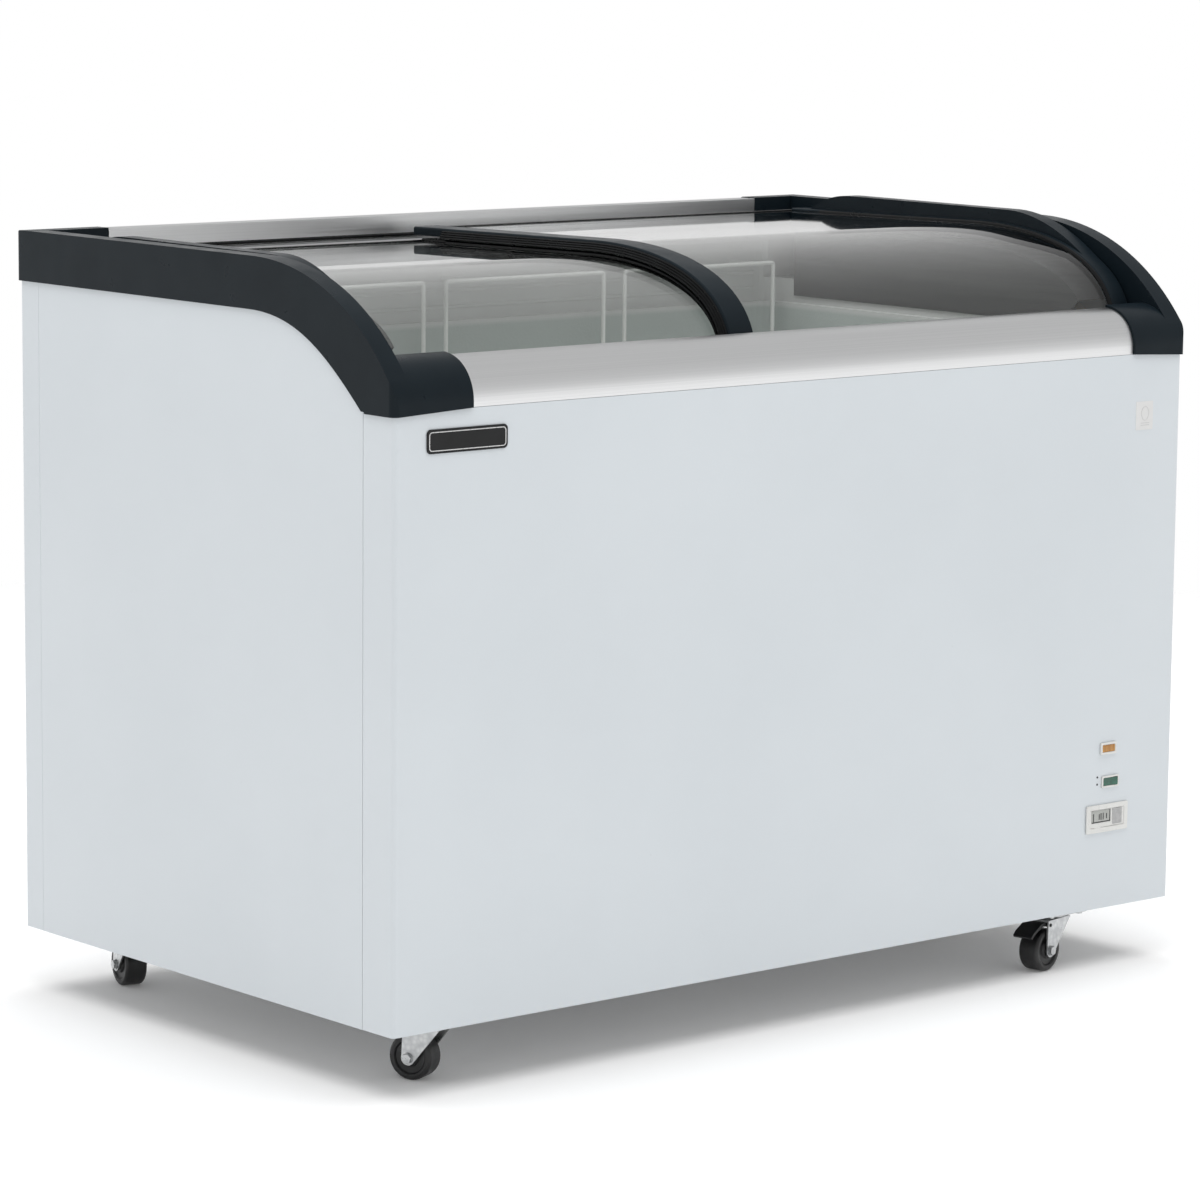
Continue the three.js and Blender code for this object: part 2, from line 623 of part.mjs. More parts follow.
function casterAxle() {
  const reach = WHEEL_WIDTH / 2 + 1.5 + CHEEK;
  const shank = cylinderY(3.1, CASTER_TRAIL, AXLE_HEIGHT, -reach - 1, reach + 1, 16);
  const head = cylinderY(6, CASTER_TRAIL, AXLE_HEIGHT, -reach - GAP - 4, -reach - GAP, 6);
  const nut = cylinderY(6, CASTER_TRAIL, AXLE_HEIGHT, reach + GAP, reach + GAP + 4, 6);
  return join(shank, head, nut);
}

// A foot lever behind the swivel, over the wheel, hinged on a cross pin.
function brakePedal() {
  const outline = points([24, -12.2], [36, -11.6], [53, -20], [58, -25], [56, -27.5], [49, -22],
    [34, -15.5], [24, -17]);
  const barrel = cylinderY(2.7, BRAKE_PIN.x, BRAKE_PIN.z, -13, 13, 16);
  const pin = cylinderY(2, BRAKE_PIN.x, BRAKE_PIN.z, -17.5, 17.5, 12);
  return join(alongY(outline, -13, 13), barrel, pin);
}

function addCaster(corner, { x, y, heading }) {
  const swivel = new THREE.Group();
  swivel.position.set(x, y, 0);
  swivel.rotation.z = THREE.MathUtils.degToRad(heading);
  cabinet.add(swivel);
  const plate = add(`caster_${corner}_plate`, casterPlate(), zinc(), swivel);
  plate.rotation.z = -swivel.rotation.z;
  const braked = corner === 'front_right';
  add(`caster_${corner}_fork`, casterFork(braked), zinc(), swivel);
  add(`caster_${corner}_wheel`, casterWheel(), blackRubber(), swivel);
  add(`caster_${corner}_axle`, casterAxle(), zinc(), swivel);
  if (braked) add('caster_front_right_brake', brakePedal(), blackPlastic(), swivel);
}

// ---- controls on the front panel ----
function fittingBody({ x0, x1, z0, z1, inset }, proud, depth) {
  const flange = box(x0, x1, -proud, -GAP, z0, z1);
  return join(flange, box(x0 + inset, x1 - inset, -1, depth, z0 + inset, z1 - inset));
}

function rockerHousing() {
  const { x0, x1, z0, z1 } = ROCKER;
  const window = box(x0 + 1.6, x1 - 1.6, -10, 14, z0 + 2.2, z1 - 2.2);
  return cut(fittingBody(ROCKER, 2, 16), window);
}

function rockerButton() {
  const centre = (ROCKER.x0 + ROCKER.x1) / 2;
  const plan = points([-10.4, -0.6], [-10, 8], [10, 8], [10.4, -3.2], [0, -1.2]);
  const outline = plan.map(({ x, y }) => point(centre + x, y));
  return alongZ(outline, ROCKER.z0 + 2.6, ROCKER.z1 - 2.6);
}

function thermometerBezel() {
  const { x0, x1, z0, z1 } = THERMOMETER;
  return cut(fittingBody(THERMOMETER, 2.5, 15), box(x0 + 5, x1 - 5, -10, 10, z0 + 6, z1 - 6));
}

function thermometerDisplay() {
  const { x0, x1, z0, z1 } = THERMOMETER;
  return box(x0 + 5 + GAP, x1 - 5 - GAP, -1.4, 10 - GAP, z0 + 6 + GAP, z1 - 6 - GAP);
}

function badgePlate() {
  return alongY(roundedRectangle(41, 146, 601, 626, 5, 4), -2, -GAP);
}

// ---- refrigeration ----
const COMPRESSOR = { x: 1030, y: 455, radius: 70 };

function compressor() {
  const { x, y, radius } = COMPRESSOR;
  const profile = points([0, 16], [radius - 12, 16], [radius - 3, 26], [radius - 3, 84], [radius, 86],
    [radius, 94], [radius - 3, 96], [radius - 5, 140], [radius - 22, 168], [0, 176]);
  const dome = new THREE.LatheGeometry(profile, 24).rotateX(Math.PI / 2);
  const upright = dome.translate(x, y, 0);
  const bracket = box(x - 88, x + 88, y - 58, y + 58, 13, 17);
  const feet = [-74, 74].flatMap((dx) => [-46, 46].map((dy) => cylinderZ(10, x + dx, y + dy, 4.8, 14, 12)));
  return join(upright, bracket, ...feet);
}

function compressorPlate() {
  const { x, y } = COMPRESSOR;
  return box(x - 98, x + 98, y - 80, y + 80, ON_PAN, ON_PAN + 2.5);
}

function terminalBox() {
  const side = COMPRESSOR.x - COMPRESSOR.radius - GAP;
  return box(side - 24, side, COMPRESSOR.y - 30, COMPRESSOR.y + 30, 56, 126);
}

function condenser() {
  const fins = Array.from({ length: 9 }, (_, i) => {
    const z = 20 + i * 25;
    return box(935, 1115, 55, 97, z, z + 1.5);
  });
  const tubes = [960, 1025, 1090].map((x) => cylinderZ(4.5, x, 76, 10, 232, 6));
  const foot = box(945, 1105, 70, 82, ON_PAN, 12);
  return join(foot, ...tubes, ...fins);
}

const FAN = { x: 1025, z: 128 };

function fanMotor() {
  const can = cylinderY(28, FAN.x, FAN.z, 130, 172, 20);
  const shaft = cylinderY(3, FAN.x, FAN.z, 114, 132, 12);
  const stand = box(FAN.x - 12, FAN.x + 12, 150, 156, ON_PAN, FAN.z);
  const foot = box(FAN.x - 30, FAN.x + 30, 140, 166, ON_PAN, 5);
  return join(can, shaft, stand, foot);
}

function fanBlade() {
  const hub = cylinderY(15, FAN.x, FAN.z, 108, 122, 20);
  const blades = Array.from({ length: 5 }, (_, i) => {
    const blade = new THREE.BoxGeometry(34, 2, 62);
    blade.rotateZ(0.3).translate(0, 0, 42).rotateY(i * 2 * Math.PI / 5);
    return blade.translate(FAN.x, 115, FAN.z);
  });
  const bore = cylinderY(3.3, FAN.x, FAN.z, 112, 130, 12);
  return cut(join(hub, ...blades), bore);
}

function rearGrille() {
  const plate = alongY(roundedRectangle(VENT.x0 - 10, VENT.x1 + 10, VENT.z0 - 10, VENT.z1 + 10, 6, 3),
    DEPTH + GAP, DEPTH + 2.8);
  const slots = Array.from({ length: 7 }, (_, i) => {
    const z = VENT.z0 + 6 + i * 15;
    return box(VENT.x0 + 6, VENT.x1 - 6, DEPTH - 5, DEPTH + 10, z, z + 7);
  });
  return cut(plate, ...slots);
}

function cordGland() {
  const flange = cylinderY(13, GLAND.x, GLAND.z, DEPTH + GAP, DEPTH + 3.2);
  const sleeve = cylinderY(GLAND.radius, GLAND.x, GLAND.z, DEPTH - 12, DEPTH + 2);
  return cut(join(flange, sleeve), cylinderY(4.6, GLAND.x, GLAND.z, DEPTH - 20, DEPTH + 10, 16));
}

// ---- assembly ----
add('front_panel', frontPanel(), whitePaint());
add('rear_panel', rearPanel(), whitePaint());
add('side_panel_left', sidePanel('left'), whitePaint());
add('side_panel_right', sidePanel('right'), whitePaint());
add('base_pan', basePan(), zinc());
add('insulation_foam', insulationFoam(), foamYellow());
add('inner_liner', innerLiner(), linerGrey());
add('evaporator_coil', evaporatorCoil(), copper());
add('front_rail', frontRail(), aluminium());
add('rear_rail', rearRail(), aluminium());
add('front_track', frontTrack(), blackPlastic());
add('rear_track', rearTrack(), blackPlastic());
add('end_cap_left', endCap('left', LEFT_BLOCK), slatePlastic());
add('end_cap_right', endCap('right', RIGHT_BLOCK), slatePlastic());
add('inner_trim_left', innerTrim('left'), greyPlastic());
add('inner_trim_right', innerTrim('right'), greyPlastic());
addLid('left', LEFT_LID);
addLid('right', RIGHT_LID);
for (const [place, x0] of Object.entries(BASKET_STARTS)) add(`basket_${place}`, basket(x0), whiteWire());
for (const [corner, spot] of Object.entries(CASTERS)) addCaster(corner, spot);
add('indicator_lamp', fittingBody(LAMP, 2.5, 12), material(0xd99a2b, 0.3));
add('rocker_housing', rockerHousing(), material(0xd9dbdb, 0.4));
add('rocker_button', rockerButton(), material(0x1d6b4f, 0.3));
add('thermometer_bezel', thermometerBezel(), material(0xd9dbdb, 0.4));
add('thermometer_display', thermometerDisplay(), material(0x9a9d9b, 0.2));
add('badge_plate', badgePlate(), blackPlastic());
add('compressor', compressor(), blackPaint());
add('compressor_plate', compressorPlate(), zinc());
add('terminal_box', terminalBox(), blackPlastic());
add('condenser', condenser(), copper());
add('fan_motor', fanMotor(), blackPaint());
add('fan_blade', fanBlade(), aluminium());
add('rear_grille', rearGrille(), blackPlastic());
add('cord_gland', cordGland(), blackPlastic());

const freezer = new THREE.Group();
freezer.add(cabinet);
export default freezer;
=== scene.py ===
"""Chest freezer with two curved glass lids that slide past each other.

The shapes are built in millimetres in the cabinet's own frame: x from the body's left side, y from its
front face, z from its underside. place() turns them into the row frame's metres.
"""

import math
import bmesh
import bpy
from mathutils import Matrix, Vector


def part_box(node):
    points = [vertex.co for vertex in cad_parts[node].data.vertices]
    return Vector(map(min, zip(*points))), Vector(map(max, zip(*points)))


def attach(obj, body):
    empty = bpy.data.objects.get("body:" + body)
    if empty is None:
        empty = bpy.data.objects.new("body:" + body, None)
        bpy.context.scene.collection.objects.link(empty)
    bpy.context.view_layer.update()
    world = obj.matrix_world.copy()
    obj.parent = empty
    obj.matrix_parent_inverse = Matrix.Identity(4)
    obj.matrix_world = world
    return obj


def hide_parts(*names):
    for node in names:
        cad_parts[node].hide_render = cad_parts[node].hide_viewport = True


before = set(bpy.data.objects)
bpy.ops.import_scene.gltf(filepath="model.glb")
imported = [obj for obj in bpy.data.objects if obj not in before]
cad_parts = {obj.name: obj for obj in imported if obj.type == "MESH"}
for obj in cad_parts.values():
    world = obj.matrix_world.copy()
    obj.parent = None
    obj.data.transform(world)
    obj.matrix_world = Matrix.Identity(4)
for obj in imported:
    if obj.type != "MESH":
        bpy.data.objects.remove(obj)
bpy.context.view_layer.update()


# ---- the cabinet's frame ----
MM = 0.001
LEFT_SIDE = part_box("side_panel_left")[0].x
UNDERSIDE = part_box("side_panel_left")[0].z
FRONT_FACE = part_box("front_panel")[0].y
ORIGIN = Vector((LEFT_SIDE, FRONT_FACE, UNDERSIDE))


def place(x, y, z):
    return ORIGIN + Vector((x, y, z)) * MM


class Extent:
    """A CAD node's box in the cabinet's frame, in millimetres."""

    def __init__(self, node):
        low, high = [(corner - ORIGIN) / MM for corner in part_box(node)]
        self.x0, self.y0, self.z0 = low
        self.x1, self.y1, self.z1 = high
        self.centre = (low + high) / 2


RIGHT_PANEL = Extent("side_panel_right")
REAR_PANEL = Extent("rear_panel")
FRONT_PANEL = Extent("front_panel")
CAPS = {"left": Extent("end_cap_left"), "right": Extent("end_cap_right")}
RAIL = Extent("front_rail")
REAR_RAIL = Extent("rear_rail")
WIDTH = RIGHT_PANEL.x1
DEPTH = REAR_PANEL.y1
SHEET = 1.0
CORNER_RADIUS = 5.0
PROUD = -CAPS["left"].x0
CAP_TOP = CAPS["left"].z1
RIM_WIDTH = 20.0
LINER_REAR = 640.0


def across(side, distance):
    """x of a point that lies this far from the named side of the body."""
    return distance if side == "left" else WIDTH - distance


# ---- camera ----
CAMERA_PLACE = Vector((-3.474, -4.1185, 1.242))
CAMERA_AZIMUTH = math.radians(-40.02)
CAMERA_ELEVATION = math.radians(8.54)
CAMERA_ROLL = math.radians(0.52)
CAMERA_LENS = 142.65
SENSOR = 36.0


def add_camera():
    forward = Vector((
        -math.sin(CAMERA_AZIMUTH) * math.cos(CAMERA_ELEVATION),
        math.cos(CAMERA_AZIMUTH) * math.cos(CAMERA_ELEVATION),
        -math.sin(CAMERA_ELEVATION),
    ))
    right = Vector((math.cos(CAMERA_AZIMUTH), math.sin(CAMERA_AZIMUTH), 0))
    up = right.cross(forward)
    c, s = math.cos(CAMERA_ROLL), math.sin(CAMERA_ROLL)
    right, up = c * right + s * up, c * up - s * right
    data = bpy.data.cameras.new("camera")
    data.lens = CAMERA_LENS
    data.sensor_width = SENSOR
    data.clip_end = 200
    camera = bpy.data.objects.new("camera", data)
    camera.matrix_world = Matrix.Translation(CAMERA_PLACE) @ Matrix((right, up, -forward)).transposed().to_4x4()
    bpy.context.scene.collection.objects.link(camera)
    bpy.context.scene.camera = camera


# ---- procedural materials ----
class Look:
    """A Principled material with a few shorthands for its nodes. Texture space is the row frame."""

    def __init__(self, name, roughness=0.5, metallic=0.0, **sockets):
        self.material = bpy.data.materials.new(name)
        self.material.use_nodes = True
        self.nodes = self.material.node_tree.nodes
        self.links = self.material.node_tree.links
        self.shader = self.nodes["Principled BSDF"]
        self.shader.inputs["Roughness"].default_value = roughness
        self.shader.inputs["Metallic"].default_value = metallic
        for socket, value in sockets.items():
            self.shader.inputs[socket.replace("_", " ")].default_value = value
        self.where = self.nodes.new("ShaderNodeTexCoord").outputs["Object"]

    def stretched(self, scale):
        mapping = self.nodes.new("ShaderNodeMapping")
        mapping.inputs["Scale"].default_value = scale
        self.links.new(self.where, mapping.inputs["Vector"])
        return mapping.outputs["Vector"]

    def height(self):
        parts = self.nodes.new("ShaderNodeSeparateXYZ")
        self.links.new(self.where, parts.inputs[0])
        return parts.outputs["Z"]

    def noise(self, scale, detail=3.0, stretch=None, roughness=0.55):
        node = self.nodes.new("ShaderNodeTexNoise")
        node.inputs["Scale"].default_value = scale
        node.inputs["Detail"].default_value = detail
        node.inputs["Roughness"].default_value = roughness
        self.links.new(self.stretched(stretch) if stretch else self.where, node.inputs["Vector"])
        return node.outputs["Fac"]

    def cells(self, scale, feature="F1", stretch=None):
        node = self.nodes.new("ShaderNodeTexVoronoi")
        node.feature = feature
        node.inputs["Scale"].default_value = scale
        self.links.new(self.stretched(stretch) if stretch else self.where, node.inputs["Vector"])
        return node.outputs["Distance"]

    def ranged(self, value, low, high, to_low, to_high):
        node = self.nodes.new("ShaderNodeMapRange")
        self.links.new(value, node.inputs["Value"])
        for socket, number in zip(("From Min", "From Max", "To Min", "To Max"), (low, high, to_low, to_high)):
            node.inputs[socket].default_value = number
        return node.outputs["Result"]

    def mixed(self, factor, first, second):
        """A colour between two colours, either of which may be a socket."""
        node = self.nodes.new("ShaderNodeMix")
        node.data_type = "RGBA"
        self.links.new(factor, node.inputs["Factor"])
        for socket, colour in ((node.inputs[6], first), (node.inputs[7], second)):
            if isinstance(colour, tuple):
                socket.default_value = (*colour, 1)
            else:
                self.links.new(colour, socket)
        return node.outputs[2]

    def colour(self, colour):
        if isinstance(colour, tuple):
            self.shader.inputs["Base Color"].default_value = (*colour, 1)
        else:
            self.links.new(colour, self.shader.inputs["Base Color"])

    def roughness(self, value, low, high):
        self.links.new(self.ranged(value, 0.3, 0.7, low, high), self.shader.inputs["Roughness"])

    def bump(self, height, distance, strength=1.0):
        node = self.nodes.new("ShaderNodeBump")
        node.inputs["Strength"].default_value = strength
        node.inputs["Distance"].default_value = distance
        self.links.new(height, node.inputs["Height"])
        if self.shader.inputs["Normal"].is_linked:
            earlier = self.shader.inputs["Normal"].links[0].from_socket
            self.links.new(earlier, node.inputs["Normal"])
        self.links.new(node.outputs["Normal"], self.shader.inputs["Normal"])


def white_paint():
    look = Look("white_paint", Coat_Weight=0.15, Coat_Roughness=0.2)
    tone = look.mixed(look.ranged(look.noise(3.0), 0.35, 0.65, 0, 1), (0.615, 0.655, 0.685), (0.635, 0.675, 0.705))
    specks = look.ranged(look.cells(22.0), 0.0, 0.025, 1.0, 0.0)
    sparse = look.ranged(look.noise(6.0, 1.0), 0.6, 0.62, 0.0, 0.5)
    product = look.nodes.new("ShaderNodeMath")
    product.operation = "MULTIPLY"
    look.links.new(specks, product.inputs[0])
    look.links.new(sparse, product.inputs[1])
    look.colour(look.mixed(product.outputs[0], tone, (0.42, 0.45, 0.48)))
    look.roughness(look.noise(9.0, 4.0), 0.3, 0.42)
    look.bump(look.noise(420.0, 2.0), 0.00006)
    look.bump(look.noise(5.0, 1.0), 0.0006, 0.5)
    return look.material


def slate_plastic():
    look = Look("slate_plastic", Specular_IOR_Level=0.12)
    tone = look.mixed(look.ranged(look.noise(14.0), 0.35, 0.65, 0, 1), (0.0062, 0.0105, 0.0142), (0.0082, 0.0132, 0.0172))
    look.colour(tone)
    look.roughness(look.noise(40.0, 4.0), 0.27, 0.38)
    look.bump(look.cells(1400.0), 0.00004)
    return look.material


def black_plastic():
    look = Look("black_plastic", Specular_IOR_Level=0.3)
    tone = look.mixed(look.ranged(look.noise(20.0), 0.35, 0.65, 0, 1), (0.005, 0.0055, 0.006), (0.009, 0.0095, 0.0105))
    look.colour(tone)
    look.roughness(look.noise(60.0, 4.0), 0.32, 0.48)
    look.bump(look.noise(900.0, 2.0), 0.00004)
    return look.material


def black_seal():
    look = Look("black_seal", Specular_IOR_Level=0.2)
    tone = look.mixed(look.ranged(look.noise(30.0), 0.35, 0.65, 0, 1), (0.003, 0.0033, 0.0036), (0.0055, 0.006, 0.0065))
    look.colour(tone)
    look.roughness(look.noise(14.0, 3.0), 0.2, 0.34)
    look.bump(look.noise(60.0, 2.0), 0.00002)
    return look.material


def satin_aluminium():
    look = Look("satin_aluminium", metallic=1.0, Anisotropic=0.5)
    grain = look.noise(60.0, 4.0, (0.02, 22.0, 22.0))
    look.colour(look.mixed(look.ranged(grain, 0.3, 0.7, 0, 1), (0.79, 0.795, 0.8), (0.85, 0.855, 0.86)))
    look.roughness(look.noise(40.0, 3.0, (0.05, 10.0, 10.0)), 0.3, 0.38)
    look.bump(grain, 0.00001)
    return look.material


def zinc_steel():
    look = Look("zinc_steel", metallic=1.0)
    spangle = look.cells(180.0)
    look.colour(look.mixed(look.ranged(spangle, 0.1, 0.8, 0, 1), (0.62, 0.63, 0.63), (0.46, 0.47, 0.48)))
    look.roughness(look.noise(90.0, 4.0), 0.24, 0.46)
    look.bump(look.noise(260.0, 3.0), 0.00005)
    return look.material


def liner_grey():
    look = Look("liner_grey")
    # The liner's colour is split by height at 0.724–0.729 m. The lower, greener tone is painted shade on the lower
    # wall, and the lighter upper tone is a painted band of light: lit and shaded copies of one liner colour.
    low = look.mixed(look.ranged(look.noise(4.0), 0.35, 0.65, 0, 1), (0.5, 0.545, 0.53), (0.545, 0.585, 0.57))
    high = look.mixed(look.ranged(look.noise(4.0), 0.35, 0.65, 0, 1), (0.66, 0.662, 0.658), (0.72, 0.722, 0.718))
    look.colour(look.mixed(look.ranged(look.height(), 0.724, 0.729, 0, 1), low, high))
    look.roughness(look.noise(50.0), 0.34, 0.5)
    look.bump(look.cells(330.0, "SMOOTH_F1"), 0.00025)
    return look.material


def grey_plastic():
    look = Look("grey_plastic")
    streaks = look.ranged(look.noise(9.0, 4.0, (1, 0.35, 14)), 0.3, 0.7, 0, 1)
    look.colour(look.mixed(streaks, (0.03, 0.0305, 0.031), (0.055, 0.0555, 0.056)))
    look.roughness(look.noise(30.0, 3.0, (1, 1, 12)), 0.38, 0.55)
    look.bump(look.noise(700.0, 2.0), 0.00004)
    return look.material


def coated_wire():
    look = Look("coated_wire", Coat_Weight=0.3, Coat_Roughness=0.15)
    look.colour(look.mixed(look.ranged(look.noise(18.0), 0.35, 0.65, 0, 1), (0.84, 0.84, 0.825), (0.9, 0.9, 0.885)))
    look.roughness(look.noise(80.0), 0.28, 0.42)
    look.bump(look.noise(350.0, 2.0), 0.00008)
    return look.material


def wheel_rubber():
    look = Look("wheel_rubber")
    tone = look.mixed(look.ranged(look.noise(60.0), 0.35, 0.65, 0, 1), (0.006, 0.006, 0.0065), (0.013, 0.013, 0.014))
    dust = look.ranged(look.noise(26.0, 5.0), 0.55, 0.75, 0.0, 0.35)
    look.colour(look.mixed(dust, tone, (0.06, 0.058, 0.055)))
    look.roughness(look.noise(110.0, 4.0), 0.28, 0.5)
    look.bump(look.noise(600.0, 3.0), 0.00006)
    return look.material


def control_plastic():
    look = Look("control_plastic", Coat_Weight=0.2)
    look.colour(look.mixed(look.ranged(look.noise(30.0), 0.35, 0.65, 0, 1), (0.66, 0.66, 0.64), (0.71, 0.71, 0.69)))
    look.roughness(look.noise(120.0), 0.26, 0.36)
    look.bump(look.noise(1200.0, 2.0), 0.00002)
    return look.material


def amber_lens():
    look = Look("amber_lens", Transmission_Weight=0.25, Coat_Weight=0.5)
    ribs = look.noise(500.0, 1.0, (1.0, 0.1, 0.1))
    look.colour(look.mixed(look.ranged(ribs, 0.35, 0.65, 0, 1), (0.42, 0.16, 0.012), (0.72, 0.36, 0.05)))
    look.roughness(look.noise(200.0), 0.14, 0.26)
    look.bump(ribs, 0.00008)
    return look.material


def green_rocker():
    look = Look("green_rocker", Transmission_Weight=0.15, Coat_Weight=0.5)
    look.colour(look.mixed(look.ranged(look.noise(160.0), 0.35, 0.65, 0, 1), (0.006, 0.075, 0.045), (0.014, 0.13, 0.08)))
    look.roughness(look.noise(200.0), 0.16, 0.28)
    look.bump(look.noise(400.0), 0.00003)
    return look.material


def display_grey():
    look = Look("display_grey", Coat_Weight=0.6, Coat_Roughness=0.05)
    look.colour(look.mixed(look.ranged(look.noise(60.0), 0.35, 0.65, 0, 1), (0.33, 0.34, 0.32), (0.4, 0.41, 0.39)))
    look.roughness(look.noise(300.0), 0.2, 0.3)
    look.bump(look.noise(900.0), 0.00001)
    return look.material


def segment_black():
    look = Look("segment_black")
    look.colour(look.mixed(look.noise(80.0), (0.012, 0.013, 0.014), (0.03, 0.031, 0.033)))
    look.roughness(look.noise(200.0), 0.3, 0.45)
    return look.material


def black_paint():
    look = Look("black_paint", Coat_Weight=0.2)
    tone = look.mixed(look.ranged(look.noise(20.0), 0.35, 0.65, 0, 1), (0.011, 0.011, 0.012), (0.02, 0.02, 0.021))
    look.colour(tone)
    look.roughness(look.noise(40.0), 0.3, 0.5)
    look.bump(look.noise(500.0), 0.00008)
    return look.material


def copper():
    look = Look("copper", metallic=1.0)
    look.colour(look.mixed(look.ranged(look.noise(40.0), 0.3, 0.7, 0, 1), (0.5, 0.22, 0.12), (0.64, 0.32, 0.19)))
    look.roughness(look.noise(90.0), 0.25, 0.5)
    look.bump(look.noise(300.0), 0.00005)
    return look.material


def insulation():
    look = Look("insulation")
    look.colour(look.mixed(look.ranged(look.noise(60.0), 0.35, 0.65, 0, 1), (0.62, 0.5, 0.24), (0.74, 0.63, 0.36)))
    look.roughness(look.noise(90.0), 0.75, 0.95)
    look.bump(look.cells(420.0), 0.0005)
    return look.material


def fan_aluminium():
    look = Look("fan_aluminium", metallic=1.0)
    look.colour(look.mixed(look.noise(120.0), (0.6, 0.6, 0.6), (0.72, 0.72, 0.72)))
    look.roughness(look.noise(200.0), 0.3, 0.45)
    look.bump(look.noise(500.0), 0.00004)
    return look.material


def paper():
    look = Look("paper", Coat_Weight=0.3)
    look.colour(look.mixed(look.noise(60.0), (0.66, 0.66, 0.655), (0.7, 0.7, 0.695)))
    look.roughness(look.noise(200.0), 0.4, 0.55)
    look.bump(look.noise(1500.0), 0.00001)
    return look.material


def faint_print():
    look = Look("faint_print")
    look.colour(look.mixed(look.noise(90.0), (0.5, 0.5, 0.5), (0.58, 0.58, 0.58)))
    look.roughness(look.noise(200.0), 0.45, 0.6)
    return look.material


def pad_grey():
    look = Look("pad_grey")
    look.colour(look.mixed(look.ranged(look.noise(180.0), 0.35, 0.65, 0, 1), (0.37, 0.37, 0.37), (0.44, 0.44, 0.44)))
    look.roughness(look.noise(200.0), 0.4, 0.55)
    look.bump(look.cells(900.0), 0.00003)
    return look.material


def silver_print():
    look = Look("silver_print", metallic=0.6)
    look.colour(look.mixed(look.noise(200.0), (0.66, 0.66, 0.66), (0.76, 0.76, 0.76)))
    look.roughness(look.noise(300.0), 0.25, 0.35)
    return look.material


GLASS_IOR = 1.5


def lid_glass():
    """Clear glass as a mirror over what lies behind it, which lets lamps light what is under the lid."""
    look = Look("lid_glass")
    look.nodes.remove(look.shader)
    clear = look.nodes.new("ShaderNodeBsdfTransparent")
    smear = look.ranged(look.noise(2.2, 4.0), 0.4, 0.7, 0, 1)
    look.links.new(look.mixed(smear, (0.95, 0.957, 0.952), (0.92, 0.928, 0.922)), clear.inputs["Color"])
    mirror = look.nodes.new("ShaderNodeBsdfGlossy")
    mirror.inputs["Color"].default_value = (1, 1, 1, 1)
    look.links.new(look.ranged(look.noise(3.0, 5.0), 0.4, 0.7, 0.01, 0.05), mirror.inputs["Roughness"])
    share = look.nodes.new("ShaderNodeFresnel")
    geometry = look.nodes.new("ShaderNodeNewGeometry")
    index = look.ranged(geometry.outputs["Backfacing"], 0, 1, GLASS_IOR, 1 / GLASS_IOR)
    look.links.new(index, share.inputs["IOR"])
    mix = look.nodes.new("ShaderNodeMixShader")
    look.links.new(share.outputs[0], mix.inputs[0])
    look.links.new(clear.outputs[0], mix.inputs[1])
    look.links.new(mirror.outputs[0], mix.inputs[2])
    look.links.new(mix.outputs[0], look.nodes["Material Output"].inputs["Surface"])
    return look.material


MAKERS = (white_paint, slate_plastic, black_plastic, black_seal, satin_aluminium, zinc_steel, liner_grey,
          grey_plastic, coated_wire, wheel_rubber, control_plastic, amber_lens, green_rocker, display_grey,
          segment_black, black_paint, copper, insulation, fan_aluminium, paper, faint_print, pad_grey, silver_print, lid_glass)
LOOKS = {maker.__name__: maker() for maker in MAKERS}


# ---- outlines ----
def arc(u, v, radius, start, end, steps):
    angles = [math.radians(start + (end - start) * i / steps) for i in range(steps + 1)]
    return [(u + radius * math.cos(a), v + radius * math.sin(a)) for a in angles]


def rounded_rectangle(u0, u1, v0, v1, radius, steps=6):
    centres = ((u1 - radius, v0 + radius, -90), (u1 - radius, v1 - radius, 0),
               (u0 + radius, v1 - radius, 90), (u0 + radius, v0 + radius, 180))
    return [p for u, v, start in centres for p in arc(u, v, radius, start, start + 90, steps)]


def bezier(a, b, c, d, steps):
    def at(t):
        s = 1 - t
        weights = (s ** 3, 3 * s * s * t, 3 * s * t * t, t ** 3)
        return tuple(sum(w * p[i] for w, p in zip(weights, (a, b, c, d))) for i in range(2))
    return [at(i / steps) for i in range(steps + 1)]


def normals(line):
    """Unit normals to the left of an open line's direction of travel."""
    found = []
    for i in range(len(line)):
        before, after = line[max(i - 1, 0)], line[min(i + 1, len(line) - 1)]
        du, dv = after[0] - before[0], after[1] - before[1]
        length = math.hypot(du, dv)
        found.append((-dv / length, du / length))
    return found


def offset(line, distance):
    return [(u + nu * distance, v + nv * distance) for (u, v), (nu, nv) in zip(line, normals(line))]


def band(line, outer, inner):
    return offset(line, outer) + offset(line, inner)[::-1]


# ---- solids: each is (vertices in millimetres, faces) ----
def skin(rings, closed=False):
    """Quads between neighbouring rings of points, with end faces unless the rings close on themselves."""
    count = len(rings[0])
    vertices = [p for ring in rings for p in ring]
    faces = []
    last = len(rings) if closed else len(rings) - 1
    for i in range(last):
        a, b = i * count, (i + 1) % len(rings) * count
        faces += [(a + j, a + (j + 1) % count, b + (j + 1) % count, b + j) for j in range(count)]
    if not closed:
        faces.append(tuple(range(count))[::-1])
        faces.append(tuple(range(len(vertices) - count, len(vertices))))
    return vertices, faces


def along_x(outline, x0, x1):
    return skin([[(x, u, v) for u, v in outline] for x in (x0, x1)])


def along_y(outline, y0, y1):
    return skin([[(u, y, v) for u, v in outline] for y in (y0, y1)])


def along_z(outline, z0, z1):
    return skin([[(u, v, z) for u, v in outline] for z in (z0, z1)])


def box(x0, x1, y0, y1, z0, z1):
    return along_z([(x0, y0), (x1, y0), (x1, y1), (x0, y1)], z0, z1)


def swept_along_line(line, section):
    """A section of (x, height) points carried along a line of (y, z) points."""
    stations = zip(line, normals(line))
    return skin([[(x, y + h * ny, z + h * nz) for x, h in section] for (y, z), (ny, nz) in stations])


